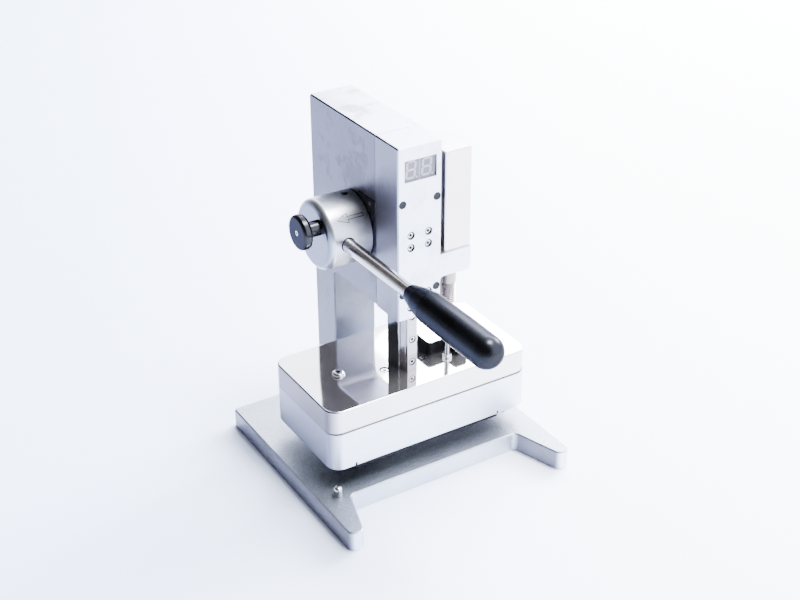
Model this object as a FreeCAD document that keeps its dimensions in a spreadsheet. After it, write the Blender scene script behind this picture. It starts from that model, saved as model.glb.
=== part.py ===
import FreeCAD, Part
import math
import os
import re

# Hand-lever heated platen press.
# Frame: +Z up, front faces -Y, +X to the right of a person facing the front.
# Origin: on the table under the machine, in the vertical plane that halves the
# C-frame. Millimetres. Every driving size is a cell of the sheet "dims".

V = FreeCAD.Vector
doc = FreeCAD.newDocument("lever_press")
sheet = doc.addObject("Spreadsheet::Sheet", "dims")

CELLS = [
    # base plate with two tapered legs
    ("base_half", 100.0), ("base_back", 96.8), ("leg_tip", -96.5), ("base_front", -55.0),
    ("notch_half", 76.2), ("tip_inner", 88.9), ("base_low", 0.0), ("base_top", 16.2),
    ("tip_round", 5.5), ("notch_round", 5.0), ("edge_break", 1.0),
    ("foot_rad", 5.0), ("foot_x_front", 92.6), ("foot_y_front", -84.0), ("foot_x_back", 90.0), ("foot_y_back", 84.0),
    ("pin_x", -84.8), ("pin_y", -50.9), ("pin_rad", 3.25), ("pin_top", 24.4),
    # C-frame
    ("frame_half", 18.75), ("column_front", 66.0), ("head_low", 136.0), ("head_top", 275.3), ("throat_round", 5.0),
    ("bolt_x", 9.5), ("bolt_y", 79.5),
    # guide channel, slide bar and rail
    ("channel_half", 10.5), ("channel_top", 262.0), ("bar_half", 8.6), ("bar_front", -14.4), ("bar_back", 1.8),
    ("bar_low", 69.3), ("bar_top", 238.0), ("rail_half", 4.5), ("rail_front", -20.9), ("rail_low", 82.9),
    ("rail_hole_low", 90.7), ("rail_pitch", 20.0),
    ("carriage_half", 10.0), ("carriage_long", 28.9), ("carriage_upper", 200.4), ("carriage_lower", 150.45),
    ("carriage_sx", 7.5), ("carriage_sz", 5.0),
    # front housing and its side wing
    ("face_y", -31.0), ("web_y", -24.4), ("wing_right", 45.6), ("wing_low", 163.5), ("wing_top", 183.0),
    ("plug_x", 14.6), ("plug_upper", 231.5), ("plug_lower", 158.0), ("plug_rad", 3.2),
    ("window_left", -13.0), ("window_right", 14.0), ("window_low", 247.9), ("window_high", 264.5),
    # side housing with the return spring
    ("box_left", 22.6), ("box_right", 46.0), ("box_front", -29.4), ("box_back", 1.5), ("box_top", 263.0), ("box_wall", 1.2),
    ("rod_x", 34.2), ("rod_y", -17.5), ("rod_rad", 2.0), ("guide_rad", 6.2), ("guide_low", 133.5), ("collar_low", 150.6),
    ("spring_low", 186.0), ("spring_high", 226.0),
    # pinion, shaft and hub
    ("axis_y", 29.0), ("axis_z", 193.0), ("gear_mod", 1.5), ("gear_teeth", 28.0), ("gear_half", 5.0),
    ("shaft_rad", 5.0), ("stub_rad", 6.0), ("bush_rad", 7.0),
    ("hub_rad", 27.5), ("hub_in", -20.05), ("hub_out", -56.0), ("hub_round", 5.4),
    ("lever_x", -41.0), ("lever_rad", 5.3), ("lever_tilt", 0.0), ("grip_start", -84.0), ("grip_end", -185.5),
    ("knob_y", 20.3), ("knob_z", 203.3), ("knob_rad", 13.5), ("knob_face", -74.0), ("knob_back", -66.4), ("pull_pin", 2.0),
    # heated platen
    ("cov_left", -84.2), ("cov_right", 95.2), ("cov_front", -42.0), ("cov_back", 50.6), ("cov_low", 63.3), ("cov_top", 82.8), ("cov_round", 11.0),
    ("shell_grow", 1.4), ("shell_low", 31.3), ("shell_wall", 2.5),
    ("pad_low", 28.2), ("face_low", 29.0),
]
for row, (alias, value) in enumerate(CELLS, start=1):
    sheet.set("A%d" % row, alias)
    sheet.set("B%d" % row, repr(value))
    sheet.setAlias("B%d" % row, alias)
doc.recompute()
D = dict(CELLS)
ALIASES = set(D)


def ex(value):
    """A number or an expression over the sheet's aliases, as FreeCAD expression text."""
    if isinstance(value, (int, float)):
        return repr(float(value))
    return re.sub(r"[a-z][a-z_]+", lambda m: "dims." + m.group(0) if m.group(0) in ALIASES else m.group(0), value)


def bind(obj, prop, value):
    obj.setExpression(prop, ex(value))


def place(obj, x, y, z):
    bind(obj, "Placement.Base.x", x)
    bind(obj, "Placement.Base.y", y)
    bind(obj, "Placement.Base.z", z)


def box(name, x0, x1, y0, y1, z0, z1):
    o = doc.addObject("Part::Box", name)
    bind(o, "Length", "(%s)-(%s)" % (x1, x0))
    bind(o, "Width", "(%s)-(%s)" % (y1, y0))
    bind(o, "Height", "(%s)-(%s)" % (z1, z0))
    place(o, x0, y0, z0)
    return o


TURN = {
    "+x": FreeCAD.Rotation(V(0, 1, 0), 90), "-x": FreeCAD.Rotation(V(0, 1, 0), -90),
    "+y": FreeCAD.Rotation(V(1, 0, 0), -90), "-y": FreeCAD.Rotation(V(1, 0, 0), 90),
    "+z": FreeCAD.Rotation(), "-z": FreeCAD.Rotation(V(1, 0, 0), 180),
}


def cyl(name, way, x, y, z, rad, length):
    """Cylinder that starts at x, y, z and runs length along way."""
    o = doc.addObject("Part::Cylinder", name)
    bind(o, "Radius", rad)
    bind(o, "Height", length)
    o.Placement = FreeCAD.Placement(V(0, 0, 0), TURN[way])
    place(o, x, y, z)
    return o


def cone(name, way, x, y, z, r1, r2, length):
    o = doc.addObject("Part::Cone", name)
    bind(o, "Radius1", r1)
    bind(o, "Radius2", r2)
    bind(o, "Height", length)
    o.Placement = FreeCAD.Placement(V(0, 0, 0), TURN[way])
    place(o, x, y, z)
    return o


def hexa(name, way, x, y, z, circum, length):
    o = doc.addObject("Part::Prism", name)
    o.Polygon = 6
    bind(o, "Circumradius", circum)
    bind(o, "Height", length)
    o.Placement = FreeCAD.Placement(V(0, 0, 0), TURN[way])
    place(o, x, y, z)
    return o


def fuse(name, *parts):
    o = doc.addObject("Part::MultiFuse", name)
    o.Shapes = list(parts)
    o.Refine = True
    return o


def cut(name, base, *tools):
    tool = tools[0] if len(tools) == 1 else fuse(name + "_tools", *tools)
    o = doc.addObject("Part::Cut", name)
    o.Base = base
    o.Tool = tool
    o.Refine = True
    return o


def edges_where(obj, test):
    doc.recompute()
    found = []
    for i, e in enumerate(obj.Shape.Edges, start=1):
        b = e.BoundBox
        if test(e, b):
            found.append(i)
    if not found:
        raise RuntimeError("no edge found for " + obj.Name)
    return found


def soften(kind, name, obj, size, test):
    """Part::Fillet or Part::Chamfer of the edges that pass test."""
    found = edges_where(obj, test)
    o = doc.addObject("Part::" + kind, name)
    o.Base = obj
    o.Edges = [(i, size, size) for i in found]
    return o


def group(name, parts):
    o = doc.addObject("Part::Compound", name)
    o.Links = list(parts)
    return o


def outline_body(name, plane, points, low, thick, rounds=()):
    """PartDesign body: a closed sketch of straight lines, padded from low by thick.
    plane XY_Plane pads along +Z, XZ_Plane along -Y, YZ_Plane along +X.
    rounds is a list of (size alias, test) fillets of the pad's edges."""
    body = doc.addObject("PartDesign::Body", name)
    sk = body.newObject("Sketcher::SketchObject", name + "_sketch")
    ref = [f for f in body.Origin.OriginFeatures if f.Role == plane][0]
    sk.AttachmentSupport = [(ref, "")]
    sk.MapMode = "FlatFace"
    import Sketcher
    n = len(points)
    nums = [(value_of(px), value_of(py)) for px, py in points]
    for i in range(n):
        a, b = nums[i], nums[(i + 1) % n]
        sk.addGeometry(Part.LineSegment(V(a[0], a[1], 0), V(b[0], b[1], 0)), False)
    for i in range(n):
        sk.addConstraint(Sketcher.Constraint("Coincident", i, 2, (i + 1) % n, 1))
    for i in range(n):
        for word, k in (("DistanceX", 0), ("DistanceY", 1)):
            c = sk.addConstraint(Sketcher.Constraint(word, -1, 1, i, 1, nums[i][k]))
            sk.setExpression("Constraints[%d]" % c, ex(points[i][k]))
    bind(sk, "AttachmentOffset.Base.z", low)
    pad = body.newObject("PartDesign::Pad", name + "_pad")
    pad.Profile = sk
    bind(pad, "Length", thick)
    doc.recompute()
    last = pad
    for j, (alias, test) in enumerate(rounds):
        found = edges_where(last, test)
        fl = body.newObject("PartDesign::Fillet", "%s_round_%d" % (name, j))
        fl.Base = (last, ["Edge%d" % k for k in found])
        bind(fl, "Radius", alias)
        doc.recompute()
        last = fl
    body.Tip = last
    doc.recompute()
    return body


def value_of(expr):
    """Number of a cell alias, of minus an alias, or of a plain number."""
    if isinstance(expr, (int, float)):
        return float(expr)
    text = expr.strip()
    if text in D:
        return D[text]
    if text.startswith("-") and text[1:] in D:
        return -D[text[1:]]
    return float(text)


def near(a, b, tol=0.05):
    return abs(a - b) < tol


def solid(name, shape):
    """Plain feature for a shape that no primitive or body describes."""
    o = doc.addObject("Part::Feature", name)
    o.Shape = shape
    return o


def socket_screw(name, way, x, y, z, head_rad, head_len, shank_rad, shank_len, key):
    """Socket head screw: the head starts at x, y, z and the shank follows along way."""
    dx, dy, dz = {"+x": (1, 0, 0), "-x": (-1, 0, 0), "+y": (0, 1, 0), "-y": (0, -1, 0), "+z": (0, 0, 1), "-z": (0, 0, -1)}[way]
    head = cyl(name + "_head", way, x, y, z, head_rad, head_len)
    body = head
    if shank_len > 0:
        shank = cyl(name + "_shank", way, "(%s)+%r" % (x, dx * head_len), "(%s)+%r" % (y, dy * head_len),
                    "(%s)+%r" % (z, dz * head_len), shank_rad, shank_len)
        body = fuse(name + "_blank", head, shank)
    rim = soften("Chamfer", name + "_rim", body, 0.35, lambda e, b: e.Curve.TypeId == "Part::GeomCircle"
                 and near(e.Curve.Radius, head_rad) and near(dx * b.Center.x + dy * b.Center.y + dz * b.Center.z,
                 dx * value_sum(x) + dy * value_sum(y) + dz * value_sum(z), 0.02))
    key_tool = hexa(name + "_key", way, "(%s)-%r" % (x, dx * 0.1), "(%s)-%r" % (y, dy * 0.1), "(%s)-%r" % (z, dz * 0.1), key, head_len * 0.6 + 0.1)
    return cut(name, rim, key_tool)


def value_sum(expr):
    """Number of a sum of aliases and numbers such as "rod_x+3.5" or "-plug_x"."""
    if isinstance(expr, (int, float)):
        return float(expr)
    total = 0.0
    for sign, word in re.findall(r"([+-]?)\s*([a-z_]+|[0-9.]+)", expr.replace(" ", "")):
        v = D[word] if word in D else float(word)
        total += -v if sign == "-" else v
    return total


NODES = []


def node(obj, label):
    obj.Label = label
    NODES.append(obj)
    return obj


# ---------------------------------------------------------------- base plate
base = outline_body(
    "base_blank", "XY_Plane",
    [("-base_half", "base_back"), ("-base_half", "leg_tip"), ("-tip_inner", "leg_tip"), ("-notch_half", "base_front"),
     ("notch_half", "base_front"), ("tip_inner", "leg_tip"), ("base_half", "leg_tip"), ("base_half", "base_back")],
    "base_low", "base_top-base_low",
    [("tip_round", lambda e, b: b.ZLength > 10 and b.YMax < D["leg_tip"] + 1),
     ("notch_round", lambda e, b: b.ZLength > 10 and near(b.YMax, D["base_front"], 1) and abs(b.Center.x) < 80),
     (2.5, lambda e, b: b.ZLength > 10 and b.YMin > D["base_back"] - 1)])
base_soft = soften("Chamfer", "base_soft", base, D["edge_break"], lambda e, b: near(b.ZMin, D["base_top"]) and near(b.ZMax, D["base_top"]))
foot_spots = [("foot_x_front", "foot_y_front"), ("-foot_x_front", "foot_y_front"), ("foot_x_back", "foot_y_back"), ("-foot_x_back", "foot_y_back")]
base_tools = [cyl("foot_pocket_%d" % i, "+z", px, py, 0.0, "foot_rad", 2.6) for i, (px, py) in enumerate(foot_spots)]
base_tools.append(cyl("pin_hole", "+z", "pin_x", "pin_y", 6.0, 3.0, 12.0))
for i, s in enumerate(("-", "")):
    base_tools.append(cyl("bolt_pass_%d" % i, "+z", s + "bolt_x", "bolt_y", 0.0, 4.3, 20.0))
    base_tools.append(cyl("bolt_bore_%d" % i, "+z", s + "bolt_x", "bolt_y", 0.0, 7.0, 9.5))
node(cut("base_plate_solid", base_soft, *base_tools), "base_plate")

node(group("feet", [cyl("foot_%d" % i, "+z", px, py, 0.0, "foot_rad", 2.6) for i, (px, py) in enumerate(foot_spots)]), "foot_pads")
pin_raw = fuse("pin_raw", cyl("pin_shank", "+z", "pin_x", "pin_y", 6.0, 3.0, 12.0), cyl("pin_head", "+z", "pin_x", "pin_y", "base_top+0.4", "pin_rad", "pin_top-base_top-0.4"))
node(soften("Fillet", "pin_dome", pin_raw, 2.6, lambda e, b: near(b.ZMin, D["pin_top"])), "locating_pin")
node(group("frame_bolts", [socket_screw("frame_bolt_%d" % i, "+z", s + "bolt_x", "bolt_y", 1.5, 6.5, 8.0, 4.0, 30.0, 3.4) for i, s in enumerate(("-", ""))]), "frame_bolts")

# ---------------------------------------------------------------- C-frame
frame_blank = outline_body(
    "frame_blank", "YZ_Plane",
    [("base_back", "base_top"), ("base_back", "head_top"), (0.0, "head_top"), (0.0, "head_low"), ("column_front", "head_low"), ("column_front", "base_top")],
    "-frame_half", "2*frame_half",
    [("throat_round", lambda e, b: b.XLength > 30 and near(b.YMin, D["column_front"], 0.5) and near(b.ZMin, D["head_low"], 0.5)),
     (2.0, lambda e, b: b.XLength > 30 and near(b.YMin, D["base_back"], 0.5) and near(b.ZMin, D["head_top"], 0.5))])
frame_soft = soften("Chamfer", "frame_soft", frame_blank, D["edge_break"],
                    lambda e, b: b.XLength < 0.01 and near(abs(b.Center.x), D["frame_half"]) and b.YMax > 1 and b.ZMax > D["base_top"] + 1)
frame_tools = [
    box("frame_channel", "-channel_half", "channel_half", -1.0, 10.6, 130.0, "channel_top"),
    box("pinion_chamber", -8.0, 8.0, 5.0, "axis_y+24.5", "axis_z-25", "axis_z+25"),
    cyl("bush_bore", "+x", "-frame_half-1", "axis_y", "axis_z", "bush_rad", "2*frame_half+2"),
    box("board_pocket", "-channel_half", "channel_half", 5.0, 44.0, 226.0, "channel_top"),
    cyl("wire_bore", "+y", 0.0, 40.0, 246.0, 4.2, 60.0),
    cyl("inlet_bore", "+y", 0.0, 84.0, 246.0, 6.0, 20.0),
    cyl("frame_tap_0", "+z", "-bolt_x", "bolt_y", 10.0, 4.0, 31.0),
    cyl("frame_tap_1", "+z", "bolt_x", "bolt_y", 10.0, 4.0, 31.0),
]
for i, (sx, pz) in enumerate((("-", "plug_upper"), ("", "plug_upper"), ("-", "plug_lower"), ("", "plug_lower"))):
    frame_tools.append(cyl("front_tap_%d" % i, "+y", sx + "plug_x", -1.0, pz, 1.5, 13.0))
for i in range(3):
    a = math.radians(90 + 120 * i)
    frame_tools.append(cyl("flange_tap_%d" % i, "+x", "-frame_half-1", "axis_y+%r" % (20.0 * math.cos(a)), "axis_z+%r" % (20.0 * math.sin(a)), 1.25, 9.0))
frame_tools.append(cyl("flange_ear_tap", "+x", "-frame_half-1", 6.6, 218.9, 1.0, 7.0))
node(cut("c_frame_solid", frame_soft, *frame_tools), "c_frame")

# power inlet at the back of the head, wires inside only
inlet_ring = cyl("inlet_ring", "+y", 0.0, "base_back", 246.0, 8.0, 2.2)
inlet_body = cyl("inlet_body", "+y", 0.0, 84.5, 246.0, 6.0, "base_back-84.5")
inlet = cut("inlet_cut", fuse("inlet_fuse", inlet_ring, inlet_body), cyl("inlet_mouth", "-y", 0.0, "base_back+3", 246.0, 3.6, 9.0))
node(fuse("power_inlet_solid", inlet, cyl("inlet_post", "+y", 0.0, 86.0, 246.0, 1.0, 8.0)), "power_inlet")

# ---------------------------------------------------------------- front housing
house_blank = outline_body(
    "house_blank", "XZ_Plane",
    [("-frame_half", "head_low"), ("frame_half", "head_low"), ("frame_half", "wing_low"),
     ("wing_right", "wing_low"), ("wing_right", "wing_top"), ("frame_half", "wing_top"), ("frame_half", "head_top"), ("-frame_half", "head_top")],
    0.0, "-face_y",
    [(2.6, lambda e, b: b.YLength > 20 and near(b.XMin, D["frame_half"], 0.5) and near(b.ZMin, D["wing_low"], 0.5)),
     (3.2, lambda e, b: b.YLength > 20 and near(b.XMin, D["wing_right"], 0.5) and near(b.ZMin, D["wing_low"], 0.5))])
house_crown = soften("Chamfer", "house_crown", house_blank, D["edge_break"], lambda e, b: b.YLength > 20 and near(abs(b.Center.x), D["frame_half"]) and near(b.ZMin, D["head_top"]))
house_seam = soften("Chamfer", "house_seam", house_crown, 0.4, lambda e, b: near(b.YMin, 0.0) and near(b.YMax, 0.0) and b.ZMin > D["wing_top"] - 60)
house_soft = soften("Chamfer", "house_soft", house_seam, 0.9,
                    lambda e, b: near(b.YMin, D["face_y"]) and near(b.YMax, D["face_y"]) and not (b.ZLength < 0.01 and near(b.ZMin, D["wing_top"])))
house_tools = [
    box("house_channel", "-channel_half", "channel_half", "web_y", 1.0, 130.0, "channel_top"),
    box("display_pocket", "window_left-1.4", "window_right+1.4", "face_y+2.4", 1.0, "window_low-2.8", "window_high+2.3"),
    box("display_window", "window_left", "window_right", "face_y-1", "face_y+3", "window_low", "window_high"),
    cyl("guide_hole", "+z", "rod_x", "rod_y", "wing_low-1", "guide_rad", 30.0),
]
carriage_spots = []
for c in ("carriage_upper", "carriage_lower"):
    for sx in ("-", ""):
        for sz in ("-", "+"):
            carriage_spots.append((sx + "carriage_sx", c + sz + "carriage_sz"))
for i, (px, pz) in enumerate(carriage_spots):
    house_tools.append(cyl("carriage_bore_%d" % i, "+y", px, "face_y-1", pz, 3.05, 4.3))
    house_tools.append(cyl("carriage_pass_%d" % i, "+y", px, "face_y-1", pz, 1.6, 10.0))
plug_spots = [("-plug_x", "plug_upper"), ("plug_x", "plug_upper"), ("-plug_x", "plug_lower"), ("plug_x", "plug_lower")]
for i, (px, pz) in enumerate(plug_spots):
    house_tools.append(cyl("plug_bore_%d" % i, "+y", px, "face_y-1", pz, "plug_rad", 7.0))
    house_tools.append(cyl("plug_pass_%d" % i, "+y", px, "face_y-1", pz, 1.6, 40.0))
node(cut("front_housing_solid", house_soft, *house_tools), "front_housing")

node(group("carriage_screws", [socket_screw("carriage_screw_%d" % i, "+y", px, "face_y+0.9", pz, 2.5, 2.4, 1.5, 5.8, 1.35)
                               for i, (px, pz) in enumerate(carriage_spots)]), "carriage_screws")
node(group("housing_screws", [socket_screw("housing_screw_%d" % i, "+y", px, "face_y+3", pz, 2.75, 3.0, 1.5, 34.0, 1.45)
                              for i, (px, pz) in enumerate(plug_spots)]), "housing_screws")
node(group("hole_plugs", [soften("Fillet", "plug_%d" % i, cyl("plug_raw_%d" % i, "+y", px, "face_y+0.35", pz, "plug_rad", 2.4), 0.5,
                                 lambda e, b: near(b.YMax, D["face_y"] + 0.35)) for i, (px, pz) in enumerate(plug_spots)]), "hole_plugs")

# display: tinted lens, two-digit LED block and its board
node(box("display_lens_solid", "window_left+0.05", "window_right-0.05", "face_y+0.9", "face_y+1.9", "window_low+0.05", "window_high-0.05"), "display_lens")
node(box("display_module_solid", "window_left+0.1", "window_right-0.1", "face_y+2.0", "face_y+8.4", "window_low+0.1", "window_high-0.1"), "display_module")
node(box("display_board_solid", "window_left-0.6", "window_right+0.6", "face_y+8.4", "face_y+10.0", "window_low-2.4", "window_high+1.9"), "display_board")

# guide carriages: recirculating ball blocks over the rail, with plastic ends
blocks, caps = [], []
for i, c in enumerate(("carriage_upper", "carriage_lower")):
    raw = box("block_raw_%d" % i, "-carriage_half", "carriage_half", "web_y", -16.2, c + "-11.6", c + "+11.6")
    tools = [box("block_slot_%d" % i, "-rail_half-0.35", "rail_half+0.35", "rail_front-0.5", -10.0, c + "-20", c + "+20")]
    for j in range(4):
        sx, sz = ("-", "")[j % 2], ("-", "+")[j // 2]
        tools.append(cyl("block_tap_%d_%d" % (i, j), "+y", sx + "carriage_sx", "web_y-1", c + sz + "carriage_sz", 1.5, 4.0))
    blocks.append(cut("block_%d" % i, raw, *tools))
    for j, (lo, hi) in enumerate((("-carriage_long/2", "-11.6"), ("+11.6", "+carriage_long/2"))):
        cap_raw = box("cap_raw_%d_%d" % (i, j), "-carriage_half+0.4", "carriage_half-0.4", "web_y+0.4", -16.4, c + lo, c + hi)
        caps.append(cut("cap_%d_%d" % (i, j), cap_raw, box("cap_slot_%d_%d" % (i, j), "-rail_half-0.35", "rail_half+0.35", "rail_front-0.5", -10.0, c + "-20", c + "+20")))
node(group("guide_carriages", blocks), "guide_carriages")
node(group("carriage_end_caps", caps), "carriage_end_caps")

# control electronics in the head
node(box("control_board_solid", -8.0, -6.4, 4.0, 42.0, 228.0, 260.0), "control_board")
node(soften("Fillet", "relay_soft", box("relay_raw", -6.4, 8.0, 8.0, 27.0, 234.0, 252.0), 0.8, lambda e, b: near(b.XMin, 8.0)), "heater_relay")

# ---------------------------------------------------------------- slide
bar_raw = box("bar_raw", "-bar_half", "bar_half", "bar_front", "bar_back", "bar_low", "bar_top")
bar_soft = soften("Chamfer", "bar_soft", bar_raw, 0.4, lambda e, b: b.ZLength > 100)
rail_hole_count = 8
bar_tools = [cyl("bar_tap_%d" % i, "+y", 0.0, "bar_front-1", "rail_hole_low+rail_pitch*%d" % i, 1.5, 8.0) for i in range(rail_hole_count)]
bar_tools.append(cyl("bar_foot_tap", "+z", 0.0, -6.3, "bar_low-1", 2.5, 14.0))
bar_tools.append(cyl("rack_tap_0", "-y", 0.0, "bar_back+1", 178.0, 1.5, 9.0))
bar_tools.append(cyl("rack_tap_1", "-y", 0.0, "bar_back+1", 222.0, 1.5, 9.0))
node(cut("slide_bar_solid", bar_soft, *bar_tools), "slide_bar")

rail_raw = box("rail_raw", "-rail_half", "rail_half", "rail_front", "bar_front", "rail_low", "bar_top")
rail_tools = [cyl("rail_groove_l", "+z", "-rail_half-0.25", "rail_front+2.6", "rail_low-1", 0.85, 170.0),
              cyl("rail_groove_r", "+z", "rail_half+0.25", "rail_front+2.6", "rail_low-1", 0.85, 170.0)]
rail_soft = soften("Chamfer", "rail_soft", rail_raw, 0.35, lambda e, b: b.ZLength > 100 and near(b.YMin, D["rail_front"]))
for i in range(rail_hole_count):
    rail_tools.append(cyl("rail_bore_%d" % i, "+y", 0.0, "rail_front-1", "rail_hole_low+rail_pitch*%d" % i, 3.0, 4.5))
    rail_tools.append(cyl("rail_pass_%d" % i, "+y", 0.0, "rail_front-1", "rail_hole_low+rail_pitch*%d" % i, 1.75, 12.0))
node(cut("guide_rail_solid", rail_soft, *rail_tools), "guide_rail")
rail_screws = [socket_screw("rail_screw_%d" % i, "+y", 0.0, "rail_front+0.45", "rail_hole_low+%r" % (20.0 * i), 2.75, 3.0, 1.5, 8.0, 1.45)
               for i in range(rail_hole_count)]


def rack_shape():
    """Straight rack behind the slide bar, teeth towards +Y, one tooth centred on the pinion axis height."""
    m = D["gear_mod"]
    pitch = math.pi * m
    line = D["axis_y"] - m * D["gear_teeth"] / 2
    tip, root = line + m, line - 1.25 * m
    half = pitch / 4 - 0.08
    ht, hr = half - m * math.tan(math.radians(20)), half + 1.25 * m * math.tan(math.radians(20))
    low, high = 171.0, 229.0
    pts = [V(0, D["bar_back"], low), V(0, root, low)]
    for k in range(-4, 7):
        c = D["axis_z"] + k * pitch
        pts += [V(0, root, c - hr), V(0, tip, c - ht), V(0, tip, c + ht), V(0, root, c + hr)]
    pts += [V(0, root, high), V(0, D["bar_back"], high)]
    face = Part.Face(Part.makePolygon(pts + [pts[0]]))
    return face.extrude(V(2 * D["gear_half"], 0, 0))


rack_raw = solid("rack_raw", rack_shape())
rack_raw.Placement = FreeCAD.Placement(V(-D["gear_half"], 0, 0), FreeCAD.Rotation())
rack_tools = []
for i, z in enumerate((178.0, 222.0)):
    rack_tools += [cyl("rack_pass_%d" % i, "-y", 0.0, 12.0, z, 1.6, 12.0), cyl("rack_bore_%d" % i, "-y", 0.0, 12.0, z, 2.9, 8.2)]
node(cut("rack_solid", rack_raw, *rack_tools), "drive_rack")
rack_screws = [socket_screw("rack_screw_%d" % i, "-y", 0.0, 5.8, z, 2.75, 2.0, 1.5, 9.0, 1.2) for i, z in enumerate((178.0, 222.0))]
node(group("slide_screws_group", rail_screws + rack_screws), "slide_screws")

# ---------------------------------------------------------------- pinion and shaft


def gear_shape():
    """Involute spur gear about an axis along X, a tooth space towards -Y."""
    m, n = D["gear_mod"], int(D["gear_teeth"])
    rp = m * n / 2
    al = math.radians(20)
    rb, ra, rf = rp * math.cos(al), rp + m, rp - 1.25 * m
    half = math.pi / (2 * n) - 0.08 / rp
    inv = math.tan(al) - al

    def ang(r):
        t = math.acos(min(1.0, rb / r))
        return half + inv - (math.tan(t) - t)
    radii = [rb + (ra - rb) * k / 4.0 for k in range(5)]
    pts = []
    for k in range(n):
        c = math.pi + math.pi / n + 2 * math.pi * k / n
        flank = [(rf, -ang(rb))] + [(r, -ang(r)) for r in radii] + [(r, ang(r)) for r in reversed(radii)] + [(rf, ang(rb))]
        pts += [V(0, r * math.cos(c + a), r * math.sin(c + a)) for r, a in flank]
    face = Part.Face(Part.makePolygon(pts + [pts[0]]))
    return face.extrude(V(2 * D["gear_half"], 0, 0))


gear_raw = solid("gear_raw", gear_shape())
gear_raw.Placement = FreeCAD.Placement(V(-D["gear_half"], D["axis_y"], D["axis_z"]), FreeCAD.Rotation())
key_slot = box("gear_keyway", -6.0, 6.0, "axis_y-1.5", "axis_y+1.5", "axis_z", "axis_z+shaft_rad+1.4")
gear_lights = [cyl("gear_light_%d" % k, "+x", -6.0, "axis_y+%r" % (12.5 * math.cos(math.radians(60 * k + 30))),
                   "axis_z+%r" % (12.5 * math.sin(math.radians(60 * k + 30))), 3.0, 12.0) for k in range(6)]
node(cut("pinion_gear_solid", gear_raw, cyl("gear_bore", "+x", -6.0, "axis_y", "axis_z", "shaft_rad", 12.0), key_slot, *gear_lights), "pinion_gear")

shaft_main = cyl("shaft_main", "-x", 19.05, "axis_y", "axis_z", "shaft_rad", 38.95)
shaft_stub = cyl("shaft_stub", "-x", -19.9, "axis_y", "axis_z", "stub_rad", 28.0)
shaft_all = fuse("shaft_all", shaft_main, shaft_stub)
node(cut("pinion_shaft_solid", shaft_all, box("shaft_keyseat", -5.0, 5.0, "axis_y-1.5", "axis_y+1.5", "axis_z+shaft_rad-1.6", "axis_z+8"),
         cyl("shaft_end_tap", "-x", 20.0, "axis_y", "axis_z", 1.5, 11.0)), "pinion_shaft")
node(box("pinion_key_solid", -5.0, 5.0, "axis_y-1.5", "axis_y+1.5", "axis_z+shaft_rad-1.6", "axis_z+shaft_rad+1.4"), "pinion_key")

bushes = []
for i, (way, x0, xf) in enumerate((("-x", -8.6, -8.0), ("+x", 8.6, 8.0))):
    sleeve = cyl("bush_sleeve_%d" % i, way, xf, "axis_y", "axis_z", "bush_rad", 10.6)
    bushes.append(cut("bush_%d" % i, sleeve, cyl("bush_hole_%d" % i, way, 0.0, "axis_y", "axis_z", "shaft_rad+0.05", 30.0)))
node(group("shaft_bushes", bushes), "shaft_bushes")

node(socket_screw("shaft_end_screw_solid", "-x", 21.6, "axis_y", "axis_z", 7.5, 2.55, 1.5, 9.0, 1.7), "shaft_end_screw")

flange_tools = [cyl("flange_hole", "+x", -25.0, "axis_y", "axis_z", 8.5, 10.0)]
flange_screws = []
for i in range(3):
    a = math.radians(90 + 120 * i)
    fy, fz = "axis_y+%r" % (20.0 * math.cos(a)), "axis_z+%r" % (20.0 * math.sin(a))
    flange_tools.append(cone("flange_sink_%d" % i, "+x", -19.75, fy, fz, 2.3, 1.25, 1.0))
    flange_screws.append(fuse("flange_screw_%d" % i, cone("flange_screw_head_%d" % i, "+x", -19.75, fy, fz, 2.3, 1.25, 1.0),
                              cyl("flange_screw_shank_%d" % i, "+x", -18.75, fy, fz, 1.25, 7.0)))
# the flange has one ear towards the front top, level with the joint plane, held by its own small screw
flange_tools.append(cone("flange_ear_sink", "+x", -19.75, 6.6, 218.9, 1.7, 1.0, 0.8))
flange_tools.append(cyl("flange_ear_hole", "+x", -19.0, 6.6, 218.9, 1.0, 1.0))
flange_screws.append(fuse("flange_ear_screw", cone("flange_ear_head", "+x", -19.75, 6.6, 218.9, 1.7, 1.0, 0.8),
                          cyl("flange_ear_shank", "+x", -18.95, 6.6, 218.9, 1.0, 5.0)))
flange_plate = fuse("flange_plate", cyl("flange_raw", "+x", -19.75, "axis_y", "axis_z", 26.9, 1.0),
                    box("flange_ear", -19.75, -18.75, 0.3, 24.0, 212.2, 222.8))
node(cut("bearing_flange_solid", flange_plate, *flange_tools), "bearing_flange")
node(group("flange_screws", flange_screws), "flange_screws")

# ---------------------------------------------------------------- hub and lever
hub_raw = cyl("hub_raw", "-x", "hub_in", "axis_y", "axis_z", "hub_rad", "hub_in-hub_out")
hub_round = soften("Fillet", "hub_round", hub_raw, D["hub_round"], lambda e, b: near(b.XMax, D["hub_out"]))
hub_soft = soften("Chamfer", "hub_soft", hub_round, 0.5, lambda e, b: near(b.XMin, D["hub_in"]) and b.YLength > 40)
tilt = math.radians(D["lever_tilt"])
lever_dir = V(0, -math.cos(tilt), math.sin(tilt))


def along(obj, start):
    """Lay an object whose own axis is +Z along the lever, start mm out from the hub axis."""
    p = V(D["lever_x"], D["axis_y"], D["axis_z"]) + lever_dir * start
    obj.Placement = FreeCAD.Placement(p, FreeCAD.Rotation(V(0, 0, 1), lever_dir))
    return obj


def lever_cyl(name, start, rad, length):
    o = doc.addObject("Part::Cylinder", name)
    bind(o, "Radius", rad)
    bind(o, "Height", length)
    return along(o, start)


def lever_cone(name, start, r1, r2, length):
    o = doc.addObject("Part::Cone", name)
    bind(o, "Radius1", r1)
    bind(o, "Radius2", r2)
    bind(o, "Height", length)
    return along(o, start)


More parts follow.
